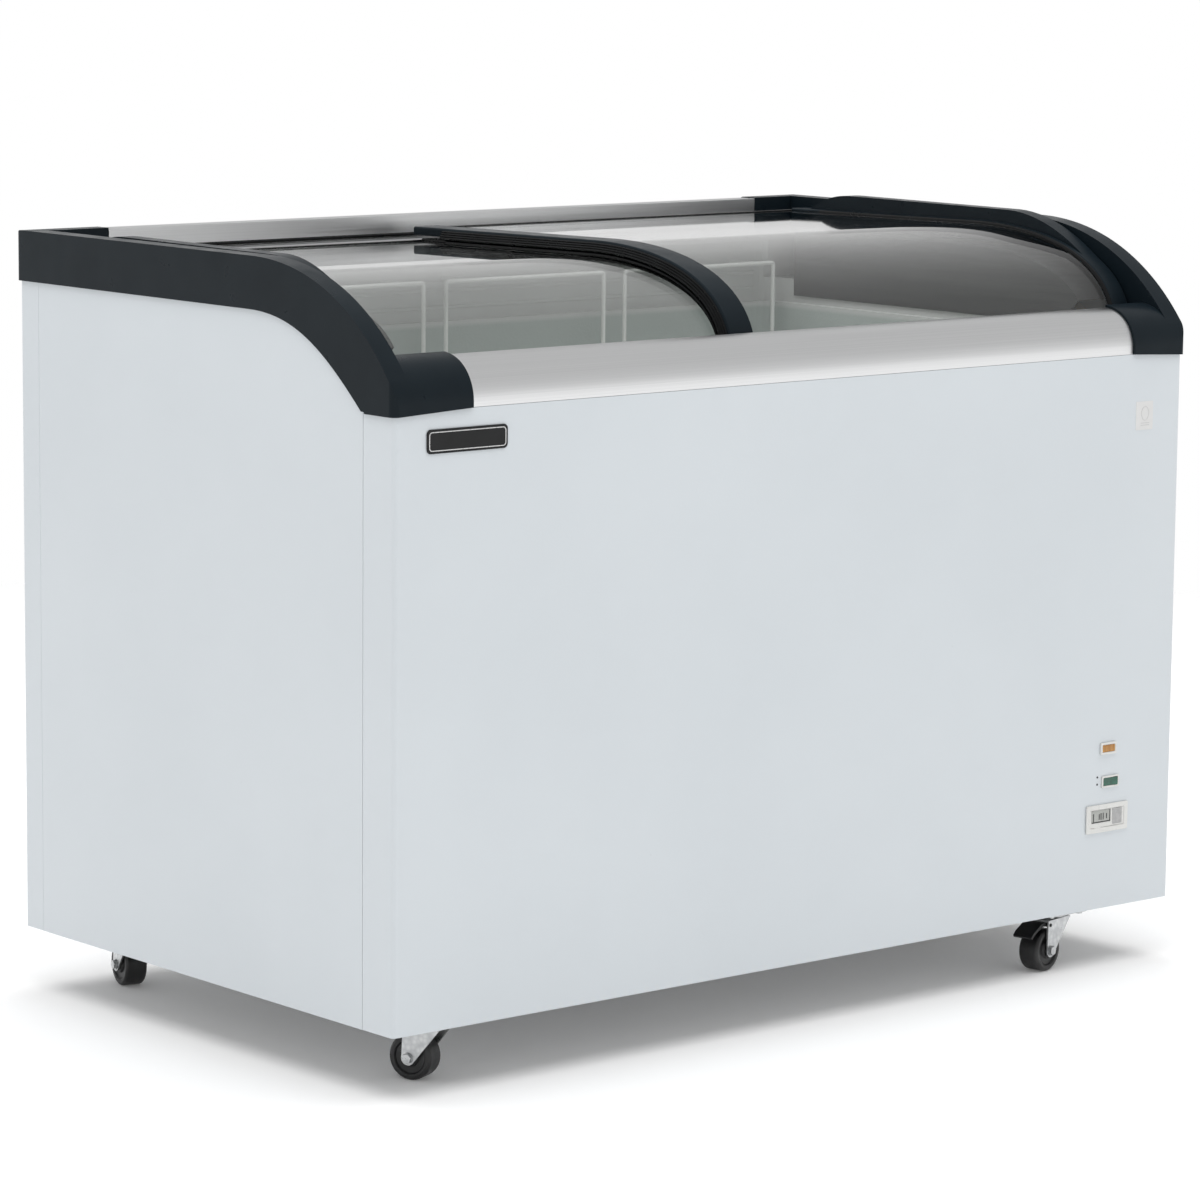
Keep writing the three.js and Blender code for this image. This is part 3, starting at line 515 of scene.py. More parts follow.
def turned(profile, centre, axis, steps=32):
    """A closed profile of (radius, distance along the axis) points turned about the axis."""
    axis = Vector(axis).normalized()
    side = axis.orthogonal().normalized()
    other = axis.cross(side)
    centre = Vector(centre)
    rings = []
    for i in range(steps):
        angle = 2 * math.pi * i / steps
        out = side * math.cos(angle) + other * math.sin(angle)
        rings.append([tuple(centre + out * r + axis * d) for r, d in profile])
    return skin(rings, closed=True)


def disc(radius, d0, d1, centre, axis, edge=0.4, steps=24):
    """A round bar from d0 to d1 along the axis, with softened ends."""
    axis = Vector(axis).normalized()
    side = axis.orthogonal().normalized()
    other = axis.cross(side)
    centre = Vector(centre)
    rings = []
    for r, d in ((radius - edge, d0), (radius, d0 + edge), (radius, d1 - edge), (radius - edge, d1)):
        ring = []
        for i in range(steps):
            angle = 2 * math.pi * i / steps
            ring.append(tuple(centre + (side * math.cos(angle) + other * math.sin(angle)) * r + axis * d))
        rings.append(ring)
    return skin(rings)


def rounded_route(corners, radius, steps=4, closed=False):
    """A polyline with each corner replaced by an arc-like bend."""
    corners = [Vector(c) for c in corners]
    count = len(corners)
    route = []
    for i, corner in enumerate(corners):
        if not closed and i in (0, count - 1):
            route.append(corner)
            continue
        before, after = corners[i - 1], corners[(i + 1) % count]
        reach = min(radius, (before - corner).length / 2.01, (after - corner).length / 2.01)
        a = corner + (before - corner).normalized() * reach
        b = corner + (after - corner).normalized() * reach
        for k in range(steps + 1):
            t = k / steps
            route.append(a.lerp(corner, t).lerp(corner.lerp(b, t), t))
    return route


def wire(route, radius, sides=8, closed=False):
    """A round wire along a route of points."""
    route = [Vector(p) for p in route]
    count = len(route)
    rings = []
    up = None
    for i, p in enumerate(route):
        before = route[i - 1] if closed or i else p
        after = route[(i + 1) % count] if closed or i < count - 1 else p
        way = (after - before).normalized()
        if up is None:
            up = way.orthogonal().normalized()
        up = (up - way * up.dot(way)).normalized()
        other = way.cross(up)
        angles = [2 * math.pi * k / sides for k in range(sides)]
        rings.append([tuple(p + (up * math.cos(a) + other * math.sin(a)) * radius) for a in angles])
    return skin(rings, closed)


def joined(*solids):
    vertices, faces = [], []
    for more_vertices, more_faces in solids:
        start = len(vertices)
        vertices += list(more_vertices)
        faces += [tuple(start + i for i in face) for face in more_faces]
    return vertices, faces


def moved(solid, shift=(0, 0, 0), turn=0.0, about=(0, 0)):
    """A solid turned about a vertical axis, then shifted."""
    vertices, faces = solid
    c, s = math.cos(math.radians(turn)), math.sin(math.radians(turn))
    result = []
    for x, y, z in vertices:
        dx, dy = x - about[0], y - about[1]
        result.append((about[0] + c * dx - s * dy + shift[0], about[1] + s * dx + c * dy + shift[1], z + shift[2]))
    return result, faces


def mirrored(solid):
    """The same solid on the other side of the cabinet."""
    vertices, faces = solid
    return [(WIDTH - x, y, z) for x, y, z in vertices], [face[::-1] for face in faces]


# ---- turning solids into pieces ----
SMOOTH_ANGLE = math.radians(32)


def mesh_of(name, solid):
    vertices, faces = solid
    mesh = bpy.data.meshes.new(name)
    mesh.from_pydata([place(*v) for v in vertices], [], faces)
    bm = bmesh.new()
    bm.from_mesh(mesh)
    bmesh.ops.recalc_face_normals(bm, faces=bm.faces)
    bm.to_mesh(mesh)
    bm.free()
    return mesh


def combined(first, second, operation):
    """The boolean result of two objects, as a new mesh."""
    modifier = first.modifiers.new("combine", "BOOLEAN")
    modifier.operation = operation
    modifier.solver = "EXACT"
    modifier.object = second
    depsgraph = bpy.context.evaluated_depsgraph_get()
    mesh = bpy.data.meshes.new_from_object(first.evaluated_get(depsgraph))
    first.modifiers.remove(modifier)
    return mesh


def cleaned(mesh):
    bm = bmesh.new()
    bm.from_mesh(mesh)
    bmesh.ops.remove_doubles(bm, verts=bm.verts, dist=0.00001)
    bmesh.ops.dissolve_limit(bm, angle_limit=math.radians(0.4), verts=bm.verts, edges=bm.edges)
    bm.to_mesh(mesh)
    bm.free()
    return mesh


def boolean(name, base, *steps):
    """A solid's mesh after each (operation, solid) in turn."""
    scene = bpy.context.scene.collection
    current = bpy.data.objects.new(name, mesh_of(name, base))
    scene.objects.link(current)
    for operation, solid in steps:
        tool = bpy.data.objects.new("tool", mesh_of("tool", solid))
        scene.objects.link(tool)
        current.data = combined(current, tool, operation)
        bpy.data.objects.remove(tool)
    mesh = cleaned(current.data)
    bpy.data.objects.remove(current)
    return mesh


def piece(name, shape, look, body, node=None, bevel=0.0, segments=3, angle=35):
    """Makes a piece of the object from a solid or a mesh and lets it ride on its body."""
    mesh = shape if isinstance(shape, bpy.types.Mesh) else mesh_of(name, shape)
    mesh.name = name
    for polygon in mesh.polygons:
        polygon.use_smooth = True
    mesh.materials.clear()
    mesh.materials.append(LOOKS[look])
    obj = bpy.data.objects.new(name, mesh)
    bpy.context.scene.collection.objects.link(obj)
    if bevel:
        modifier = obj.modifiers.new("bevel", "BEVEL")
        modifier.width = bevel * MM
        modifier.segments = segments
        modifier.angle_limit = math.radians(angle)
        modifier.limit_method = "ANGLE"
        modifier.miter_outer = "MITER_ARC"
        modifier.use_clamp_overlap = True
    mesh.set_sharp_from_angle(angle=SMOOTH_ANGLE)
    weighted = obj.modifiers.new("normals", "WEIGHTED_NORMAL")
    weighted.keep_sharp = not bevel
    weighted.weight = 60
    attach(obj, body)
    if node:
        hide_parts(node)
    return obj


def dress(node, look):
    """Gives a carried-over CAD node its material."""
    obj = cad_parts[node]
    obj.data.materials.clear()
    obj.data.materials.append(LOOKS[look])
    for polygon in obj.data.polygons:
        polygon.use_smooth = True
    obj.data.set_sharp_from_angle(angle=SMOOTH_ANGLE)


# ---- painted panels ----
FRONT_SEAM = FRONT_PANEL.y1
REAR_SEAM = REAR_PANEL.y0
FITTINGS = ("indicator_lamp", "rocker_housing", "thermometer_bezel")
FITTING_INSETS = {"indicator_lamp": 1.7, "rocker_housing": 0.7, "thermometer_bezel": 2.7}


def wrapped_plan(seam, y_edge, centre_y, quarter):
    """Plan of a panel that wraps round both corners, from its right seam to its left one."""
    turn = 1 if quarter else -1
    right = arc(WIDTH - CORNER_RADIUS, centre_y, CORNER_RADIUS, 0, 90 * turn, 18)
    left = arc(CORNER_RADIUS, centre_y, CORNER_RADIUS, 90 * turn, 180 * turn, 18)
    return [(WIDTH, seam)] + right + left + [(0, seam)]


def add_front_panel():
    plan = wrapped_plan(FRONT_SEAM, 0, CORNER_RADIUS, False)
    sheet = along_z(band(plan, 0, -SHEET), 0, FRONT_PANEL.z1)
    cuts = []
    for node in FITTINGS:
        extent, inset = Extent(node), FITTING_INSETS[node]
        cuts.append(("DIFFERENCE", box(extent.x0 + inset, extent.x1 - inset, -10, 10,
                                       extent.z0 + inset, extent.z1 - inset)))
    piece("front_panel_sheet", boolean("front_panel_sheet", sheet, *cuts), "white_paint", "cabinet",
          "front_panel", bevel=0.45, segments=2, angle=50)


def add_rear_panel():
    plan = wrapped_plan(REAR_SEAM, DEPTH, DEPTH - CORNER_RADIUS, True)
    sheet = along_z(band(plan, 0, SHEET), 0, REAR_PANEL.z1)
    grille, gland = Extent("rear_grille"), Extent("cord_gland")
    vent = box(grille.x0 + 10, grille.x1 - 10, DEPTH - 10, DEPTH + 10, grille.z0 + 10, grille.z1 - 10)
    hole = disc(9.3, -10, 10, (gland.centre.x, DEPTH, gland.centre.z), (0, 1, 0), 0.01)
    mesh = boolean("rear_panel_sheet", sheet, ("DIFFERENCE", vent), ("DIFFERENCE", hole))
    piece("rear_panel_sheet", mesh, "white_paint", "cabinet", "rear_panel",
          bevel=0.45, segments=2, angle=50)


# ---- end caps ----
BLOCKS = {"left": CAPS["left"].x1, "right": WIDTH - CAPS["right"].x0}
BLOCK_BOTTOM = 641.0
RAIL_BACK = RAIL.y1
FRONT_TOP = FRONT_PANEL.z1
SKIRT_BOTTOM = 733.0
SKIRT_CORNER = 643.0
BLOCK_TOP = 699.0


def block_nose(steps=20):
    return bezier((-PROUD, 652), (-PROUD, 672), (12, 697), (RAIL_BACK, BLOCK_TOP), steps)


def cap_arch(steps=36):
    start = block_nose()[10]
    return bezier(start, (50, 735), (125, CAP_TOP), (240, CAP_TOP), steps)


def cap_lower_edge(lift=0.0, steps=24):
    return bezier((51, SKIRT_CORNER + lift), (115, 701 + lift), (165, SKIRT_BOTTOM + lift),
                  (245, SKIRT_BOTTOM + lift), steps)


def rim_outline():
    rear, rounding = DEPTH + PROUD, 10
    rear_arc = arc(rear - rounding, CAP_TOP - rounding, rounding, 90, 0, 10)
    return ([(-PROUD, BLOCK_BOTTOM)] + block_nose()[:10] + cap_arch() + rear_arc
            + [(rear, SKIRT_BOTTOM)] + cap_lower_edge()[::-1])


def rear_block_outline():
    rear, rounding = DEPTH + PROUD, 10
    return ([(REAR_RAIL.y0, SKIRT_BOTTOM), (REAR_RAIL.y0, CAP_TOP)]
            + arc(rear - rounding, CAP_TOP - rounding, rounding, 90, 0, 10) + [(rear, SKIRT_BOTTOM)])


def cap_solid_steps(block):
    """The boolean steps of the left end cap, for a front block of the given length."""
    wall, room = 3.5, 0.4
    front_block = along_x([(-PROUD, BLOCK_BOTTOM)] + block_nose() + [(RAIL_BACK, BLOCK_BOTTOM)], -PROUD, block)
    rear_block = along_x(rear_block_outline(), -PROUD, block)
    plan = rounded_rectangle(-PROUD, WIDTH + PROUD, -PROUD, DEPTH + PROUD, CORNER_RADIUS + PROUD, 14)
    inner_plan = rounded_rectangle(-room, WIDTH + room, -room, DEPTH + room, CORNER_RADIUS + room, 14)
    lift = 10 + room
    pocket = ([(-room - 20, 600), (-room - 20, FRONT_TOP + 0.3), (FRONT_SEAM + 0.3, FRONT_TOP + 0.3),
               (FRONT_SEAM + 0.3, SKIRT_CORNER + lift)] + cap_lower_edge(lift)[1:]
              + [(DEPTH + 20, SKIRT_BOTTOM + lift), (DEPTH + 20, 600)])
    hollow_front = FRONT_SEAM + 9
    undercut = [p for p in offset(cap_arch(), -wall) if p[0] > hollow_front]
    hollow = ([(hollow_front, BLOCK_BOTTOM)] + undercut
              + [(DEPTH - wall, CAP_TOP - wall), (DEPTH - wall, BLOCK_BOTTOM)])
    slope = [(-20, BLOCK_BOTTOM - 1), (block + 1, FRONT_TOP + 0.3), (block + 1, 600), (-20, 600)]
    return (
        ("UNION", front_block),
        ("UNION", rear_block),
        ("INTERSECT", along_z(plan, 600, 800)),
        ("DIFFERENCE", clipped(along_x(pocket, -20, block + 5), inner_plan)),
        ("DIFFERENCE", clipped(along_x(hollow, -20, RIM_WIDTH - wall), inner_plan)),
        ("DIFFERENCE", along_y(slope, -10, RAIL_BACK + 5)),
    )


def clipped(solid, plan):
    """A solid kept inside a plan outline, as vertices and faces."""
    mesh = boolean("clip", solid, ("INTERSECT", along_z(plan, 590, 810)))
    vertices = [tuple((v.co - ORIGIN) / MM) for v in mesh.vertices]
    faces = [tuple(p.vertices) for p in mesh.polygons]
    bpy.data.meshes.remove(mesh)
    return vertices, faces


def add_end_cap(side):
    steps = cap_solid_steps(BLOCKS[side])
    rim = along_x(rim_outline(), -PROUD, RIM_WIDTH)
    if side == "right":
        rim = mirrored(rim)
        steps = [(operation, mirrored(solid)) for operation, solid in steps]
    name = f"{side}_end_cap_moulding"
    piece(name, boolean(name, rim, *steps), "slate_plastic", "cabinet", f"end_cap_{side}",
          bevel=2.2, segments=4, angle=30)


# ---- rails and tracks ----
def rail_nose(steps=24):
    return bezier((0, 650), (0, 674), (16, RAIL.z1), (RAIL_BACK, RAIL.z1), steps)


def add_front_rail():
    wall, leg_end = 2, 662
    outer = [(0, RAIL.z0)] + rail_nose()
    outline = outer + [(RAIL_BACK, leg_end), (RAIL_BACK - wall, leg_end), (RAIL_BACK - wall, RAIL.z1 - wall)]
    outline += offset(outer, -wall)[::-1][1:]
    piece("front_rail_extrusion", along_x(outline, RAIL.x0, RAIL.x1), "satin_aluminium", "cabinet",
          "front_rail", bevel=0.3, segments=2, angle=50)


def add_rear_rail():
    rail = REAR_RAIL
    bevel = 6
    outline = [(rail.y0, rail.z0), (rail.y1, rail.z0), (rail.y1, rail.z1 - bevel), (rail.y1 - bevel, rail.z1),
               (rail.y0 + 12, rail.z1), (rail.y0 + 12, rail.z1 - 1.5), (rail.y0 + 6, rail.z1 - 1.5),
               (rail.y0 + 6, rail.z1), (rail.y0, rail.z1), (rail.y0, rail.z0 + 26), (rail.y0 + 1.2, rail.z0 + 25),
               (rail.y0 + 1.2, rail.z0 + 22), (rail.y0, rail.z0 + 21)]
    piece("rear_rail_extrusion", along_x(outline, rail.x0, rail.x1), "satin_aluminium", "cabinet",
          "rear_rail", bevel=0.5, segments=3, angle=30)


def add_tracks():
    dress("front_track", "black_plastic")
    dress("rear_track", "satin_aluminium")
    y = REAR_RAIL.y0 - 0.3
    low, high = y - 2.4, y - 0.4
    lip = [(y, 763), (y, 767), (high, 767.3), (low, 766), (low, 763.6), (high, 763)]
    piece("rear_rail_seal", along_x(lip, REAR_RAIL.x0 + 0.5, REAR_RAIL.x1 - 0.5), "black_seal", "cabinet")


# ---- lids ----
LID_LEVEL = Extent("right_lid_inner_trim").z1
LID_FALL = 4.5
LID_THICKNESS = 10.0
GLASS_OUTER = -3.0
GLASS_THICKNESS = 4.0


class Lid:
    def __init__(self, side):
        self.side = side
        self.trim = Extent(f"{side}_lid_inner_trim")
        self.handle = Extent(f"{side}_lid_handle")
        self.glass = Extent(f"{side}_lid_glass")
        self.level = self.trim.z1
        self.drop = LID_LEVEL - self.level
        self.rear = self.trim.y1
        self.inward = 1 if side == "left" else -1
        self.outer_x = self.handle.x0 if side == "left" else self.handle.x1
        self.inner_x = self.trim.x1 if side == "left" else self.trim.x0
        self.rise = self.handle.z1 - self.level

    @staticmethod
    def crest(steps):
        """The curved front of the upper lid's outer surface, as far as its highest level."""
        return bezier((57, 654), (50, 750), (170, LID_LEVEL), (290, LID_LEVEL), steps)

    def line(self, steps=40):
        level = [(290 + (self.rear - 290) * i / 6, LID_LEVEL - LID_FALL * i / 6) for i in range(1, 7)]
        return offset(self.crest(steps) + level, -self.drop)


LIDS = {side: Lid(side) for side in ("left", "right")}


def trim_section(x0, x1, top=0.0, bottom=-LID_THICKNESS, rounding=2.5, steps=4):
    low, high = min(x0, x1), max(x0, x1)
    small = 1.0
    return (arc(high - small, bottom + small, small, -90, 0, 2) + arc(high - rounding, top - rounding, rounding, 0, 90, steps)
            + arc(low + rounding, top - rounding, rounding, 90, 180, steps) + arc(low + small, bottom + small, small, 180, 270, 2))


def add_lid(side):
    lid = LIDS[side]
    body = f"{side}_lid"
    line = lid.line()
    glass = band(line, GLASS_OUTER, GLASS_OUTER - GLASS_THICKNESS)
    piece(f"{side}_lid_pane", along_x(glass, lid.glass.x0, lid.glass.x1), "lid_glass", body,
          f"{side}_lid_glass")
    add_inner_trim(lid, body, line)
    add_handle(lid, body, line)
    dress(f"{side}_lid_front_runner", "black_plastic")
    dress(f"{side}_lid_rear_runner", "satin_aluminium")
    add_rear_edge(lid, body)


def add_rear_edge(lid, body):
    """The thin dark edging along the pane's rear edge."""
    top = lid.level - LID_FALL + GLASS_OUTER
    outline = [(lid.rear - 5, top + 0.1), (lid.rear - 0.6, top + 0.1), (lid.rear - 0.6, top + 1.1), (lid.rear - 1.2, top + 1.6),
               (lid.rear - 4.4, top + 1.3), (lid.rear - 5, top + 0.8)]
    piece(f"{lid.side}_lid_rear_edging", along_x(outline, lid.glass.x0 + 14, lid.glass.x1 - 14), "black_seal", body)


def notched(section_low, section_high, mouth_at_high, depth=14.0):
    """A trim section with a slot for the glass in one side."""
    top, bottom = GLASS_OUTER + 0.3, GLASS_OUTER - GLASS_THICKNESS - 0.3
    section = trim_section(section_low, section_high)
    edge = section_high if mouth_at_high else section_low
    deep = edge - depth if mouth_at_high else edge + depth
    slot = [(edge, bottom), (deep, bottom), (deep, top), (edge, top)]
    if mouth_at_high:
        cut = next(i for i, p in enumerate(section) if p[1] > bottom)
        return section[:cut] + slot + section[cut:]
    cut = len(section) - next(i for i, p in enumerate(section[::-1]) if p[1] > bottom)
    return section[:cut] + slot[::-1] + section[cut:]


def add_inner_trim(lid, body, line):
    section = notched(lid.trim.x0, lid.trim.x1, lid.side == "right")
    look = "slate_plastic" if lid.side == "right" else "black_seal"
    piece(f"{lid.side}_lid_edge_trim", swept_along_line(line, section), look, body,
          f"{lid.side}_lid_inner_trim")
    if lid.side == "right":
        add_wiper(lid, body, line)
    else:
        add_glazing_bead(lid, body, line)
    add_handle_bead(lid, body, line)


def ribbed(x, top, out, down, count):
    """The left side of a seal whose round ribs step outwards as they go down."""
    side = []
    for rib in range(count):
        left, height = x - out * rib, top - down * rib
        side += [(left - 0.5, height), (left - 1.1, height - 0.3), (left - 1.5, height - 0.9),
                 (left - 1.5, height - down + 0.9), (left - 1.1, height - down + 0.35)]
    return side


def add_wiper(lid, body, line):
    """The ribbed rubber wiper on the upper lid's edge, which sweeps over the lower lid."""
    x = lid.trim.x0 - 0.1
    section = [(x, -2.6)] + ribbed(x, -2.8, 1.4, 2.4, 4) + [(x - 5, -12.5), (x, -12.5)]
    piece("right_lid_wiper", swept_along_line(line[1:-1], section), "black_seal", body)


def add_glazing_bead(lid, body, line):
    """The bead that seals the lower lid's pane against its edge trim."""
    x = lid.trim.x0 - 0.1
    top = GLASS_OUTER + 0.1
    section = [(x, top), (x, -0.9), (x - 1.2, -1.0), (x - 2.2, -1.6), (x - 3.0, -1.7), (x - 3.9, -1.3),
               (x - 4.9, -1.7), (x - 5.6, top)]
    piece("left_lid_bead", swept_along_line(line[1:-1], section[::-1]), "black_seal", body)


def add_handle_bead(lid, body, line):
    """The bead between the pane and the handle's trim."""
    edge = lid.handle.x1 + 0.1 if lid.side == "left" else lid.handle.x0 - 0.1
    top = GLASS_OUTER + 0.1
    section = [(edge + lid.inward * d, h) for d, h in ((0, top), (0, -0.4), (1.2, -0.3), (2.4, -0.9), (3.4, -2.0), (3.8, top))]
    piece(f"{lid.side}_lid_handle_bead", swept_along_line(line[1:-1], section), "black_seal", body)


def handle_outline(lid, steps=16):
    level = lid.level
    top = level + lid.rise
    rear = 594
    buried = [p for p in offset(lid.line(), -LID_THICKNESS / 2) if 102 < p[0] < rear]
    return (bezier((100, level - 46), (130, level - 20), (185, top - 2), (245, top - 1), steps)
            + bezier((520, top), (555, top), (572, level + 6), (rear, level - 5.5), steps)
            + [(rear, level - LID_FALL - LID_THICKNESS / 2)] + buried[::-1])


def add_handle(lid, body, line):
    strip = notched(lid.handle.x0, lid.handle.x1, lid.side == "left")
    grip = along_x(handle_outline(lid), lid.outer_x, lid.outer_x + lid.inward * 20)
    name = f"{lid.side}_lid_grip"
    mesh = boolean(name, swept_along_line(line, strip), ("UNION", grip))
    piece(name, mesh, "slate_plastic", body, f"{lid.side}_lid_handle", bevel=1.0, segments=3,
          angle=40)


# ---- liner and inner trims ----
def add_interior():
    dress("inner_liner", "liner_grey")
    dress("insulation_foam", "insulation")
    dress("evaporator_coil", "copper")
    add_wall_ribs()
    for side in ("left", "right"):
        add_inner_lining(side)


def add_wall_ribs():
    """Shallow ribs along the liner's rear wall."""
    wall = LINER_REAR - 0.2
    x0, x1 = RIM_WIDTH + 76, WIDTH - RIM_WIDTH - 76
    profile = [(wall, -2.4), (wall - 1.2, -1.2), (wall - 1.4, 0), (wall - 1.2, 1.2), (wall, 2.4)]
    ribs = [along_x([(y, z + height) for y, z in profile], x0, x1) for height in (678, 698)]
    piece("liner_wall_ribs", joined(*ribs), "liner_grey", "cabinet")


def add_inner_lining(side):
    """The grey trim from the cap down to the liner: a shelf under the lids and a plate below it."""
    trim = Extent(f"inner_trim_{side}")
    rear, wall = trim.y1, 2
    below_lids = LIDS["left"].drop + LID_THICKNESS + 4
    shelf = [p for p in offset(Lid.crest(72), -below_lids) if 96 < p[0] < rear] + [(rear, LID_LEVEL - LID_FALL - below_lids)]
    foot = [(rear, trim.z0), (168, trim.z0), (126, 671)]
    near, far = (trim.x0, trim.x1) if side == "left" else (trim.x1, trim.x0)
    inner = far - wall if side == "left" else far + wall
    plate = along_x(shelf + foot, *sorted((inner, far)))
    top = along_x(band(shelf, 0, -wall), *sorted((near, far)))
    name = f"inner_trim_{side}_moulding"
    piece(name, boolean(name, plate, ("UNION", top)), "grey_plastic", "cabinet",
          f"inner_trim_{side}", bevel=0.6, segments=3, angle=40)


# ---- wire baskets ----
WIRE = 1.6
FRAME_WIRE = 2.6


def add_basket(place_name):
    extent = Extent(f"basket_{place_name}")
    x0, x1 = extent.x0 + FRAME_WIRE, extent.x1 - FRAME_WIRE
    y0, y1 = 100 + FRAME_WIRE, 600 - FRAME_WIRE
    bottom, rim, top = extent.z0 + WIRE, 600.0, extent.z1 - FRAME_WIRE
    solids = []
    for z in (rim, rim - 70, rim - 140, bottom + 25):
        loop = rounded_route([(x0, y0, z), (x1, y0, z), (x1, y1, z), (x0, y1, z)], 22, closed=True)
        solids.append(wire(loop, FRAME_WIRE if z == rim else WIRE, closed=True))
    for i in range(1, 18):
        y = y0 + (y1 - y0) * i / 18
        route = rounded_route([(x0, y, rim), (x0, y, bottom), (x1, y, bottom), (x1, y, rim)], 16)
        solids.append(wire(route, WIRE))
    for i in range(1, 9):
        x = x0 + (x1 - x0) * i / 9
        route = rounded_route([(x, y0, rim), (x, y0, bottom + 3), (x, y1, bottom + 3), (x, y1, rim)], 16)
        solids.append(wire(route, WIRE))
    hanger = rounded_route([(x0, y1, rim - 60), (x0, y1, top), (x1, y1, top), (x1, y1, rim - 60)], 4)
    solids.append(wire(hanger, FRAME_WIRE, 10))
    for x in (x0 + 30, x1 - 30):
        solids.append(wire([(x, y1, top), (x, extent.y1 - FRAME_WIRE, top)], FRAME_WIRE))
        lip = rounded_route([(x, y0 + 10, rim), (x, extent.y0 + FRAME_WIRE, rim)], 6)
        solids.append(wire(lip, FRAME_WIRE))
    piece(f"basket_{place_name}_wires", joined(*solids), "coated_wire", f"basket_{place_name}_body",
          f"basket_{place_name}")


# ---- casters ----
AXLE_HEIGHT = Extent("caster_front_left_wheel").centre.z
WHEEL_RADIUS = Extent("caster_front_left_wheel").z1 - AXLE_HEIGHT
TRAIL = 22.0
WHEEL_HALF = 13.0
FORK_INNER = WHEEL_HALF + 1.5
CHEEK = 2.0
FORK_TOP = -9.3
HEADINGS = {"front_left": 114, "front_right": 191, "rear_left": 77, "rear_right": 100}


def swivel_frame(corner):
    """A function that carries a solid built at a swivel, trailing along +x, to its caster."""
    plate = Extent(f"caster_{corner}_plate").centre
    return lambda solid: moved(solid, (plate.x, plate.y, 0), HEADINGS[corner])


def wheel_solid():
    half, r = WHEEL_HALF, WHEEL_RADIUS
    tread = [(r - 4 + 4 * math.sin(math.radians(a)), half - 4 + 4 * math.cos(math.radians(a)))
             for a in range(0, 91, 18)]
    outer = [(3.6, half), (8.5, half), (9.5, half - 0.8), (10.5, half - 2.4), (17, half - 2.4), (18, half - 0.8),
             (18.8, half - 0.2), (20, half - 0.2)] + tread
    profile = outer + [(a, -d) for a, d in outer[::-1]]
    return turned(profile, (TRAIL, 0, AXLE_HEIGHT), (0, 1, 0), 48)


def cheek_outline():
    boss = arc(TRAIL, AXLE_HEIGHT, 8, -150, 20, 12)
    return [(-17, FORK_TOP)] + boss + [(TRAIL + 6, FORK_TOP)]


def add_caster(corner):
    carried = swivel_frame(corner)
    swivel, roller = f"caster_{corner}_swivel", f"caster_{corner}_roller"
    plate = Extent(f"caster_{corner}_plate").centre
    add_caster_plate(corner, plate)
    cheeks = [along_y(cheek_outline(), y, y + CHEEK) for y in (-FORK_INNER - CHEEK, FORK_INNER)]
    web = box(-17, TRAIL + 6, -FORK_INNER - CHEEK, FORK_INNER + CHEEK, FORK_TOP - CHEEK, FORK_TOP)
    room = disc(WHEEL_RADIUS + 2, -FORK_INNER, FORK_INNER, (TRAIL, 0, AXLE_HEIGHT), (0, 1, 0), 0.01, 48)
    bolt_hole = disc(3.4, -40, 40, (TRAIL, 0, AXLE_HEIGHT), (0, 1, 0), 0.01)
    steps = [("UNION", carried(solid)) for solid in cheeks]
    steps += [("DIFFERENCE", carried(room)), ("DIFFERENCE", carried(bolt_hole))]
    if corner == "front_right":
        steps.append(("DIFFERENCE", carried(disc(2.3, -40, 40, (24, 0, -14.8), (0, 1, 0), 0.01, 16))))
    name = f"caster_{corner}_bracket"
    piece(name, boolean(name, carried(web), *steps), "zinc_steel", swivel,
          f"caster_{corner}_fork", bevel=0.6, segments=2, angle=40)
    piece(f"caster_{corner}_tyre", carried(wheel_solid()), "wheel_rubber", roller,
          f"caster_{corner}_wheel")
    piece(f"caster_{corner}_bolt", carried(axle_bolt()), "zinc_steel", swivel,
          f"caster_{corner}_axle")


def axle_bolt():
    centre, axis = (TRAIL, 0, AXLE_HEIGHT), (0, 1, 0)
    reach = FORK_INNER + CHEEK
    shank = disc(3.1, -reach - 0.5, reach + 0.5, centre, axis, 0.2, 20)
    head = disc(5.6, -reach - 3.9, -reach - 0.8, centre, axis, 0.5, 6)
    nut = disc(5.6, reach + 0.8, reach + 3.9, centre, axis, 0.5, 6)
    washers = [disc(6, a, b, centre, axis, 0.15, 28) for a, b in ((-reach - 0.9, -reach - 0.3), (reach + 0.3, reach + 0.9))]
    return joined(shank, head, nut, *washers)


def add_caster_plate(corner, plate):
    outline = rounded_rectangle(-31, 31, -31, 31, 5)
    base = along_z(outline, -2.8, -0.3)
    holes = [("DIFFERENCE", disc(3.2, -10, 10, (x, y, 0), (0, 0, 1), 0.01, 20)) for x in (-23, 23) for y in (-23, 23)]
    race = [(0.5, -2.7), (0.5, -9), (15, -9), (18, -8.4), (19, -7), (19, -5), (18.2, -4), (20.5, -3.2), (21, -2.7)]
    shift = (plate.x, plate.y, 0)
    steps = [(operation, moved(solid, shift)) for operation, solid in holes]
    mesh = boolean(f"caster_{corner}_base", moved(base, shift), *steps)
    piece(f"caster_{corner}_base", mesh, "zinc_steel", "cabinet", f"caster_{corner}_plate",
          bevel=0.3, segments=2, angle=40)
    screws = [disc(5, -5.4, -2.9, (x, y, 0), (0, 0, 1), 0.5, 6) for x in (-23, 23) for y in (-23, 23)]
    raceway = turned(race, (0, 0, 0), (0, 0, 1), 40)
    piece(f"caster_{corner}_raceway", moved(joined(raceway, *screws), shift), "zinc_steel", "cabinet")


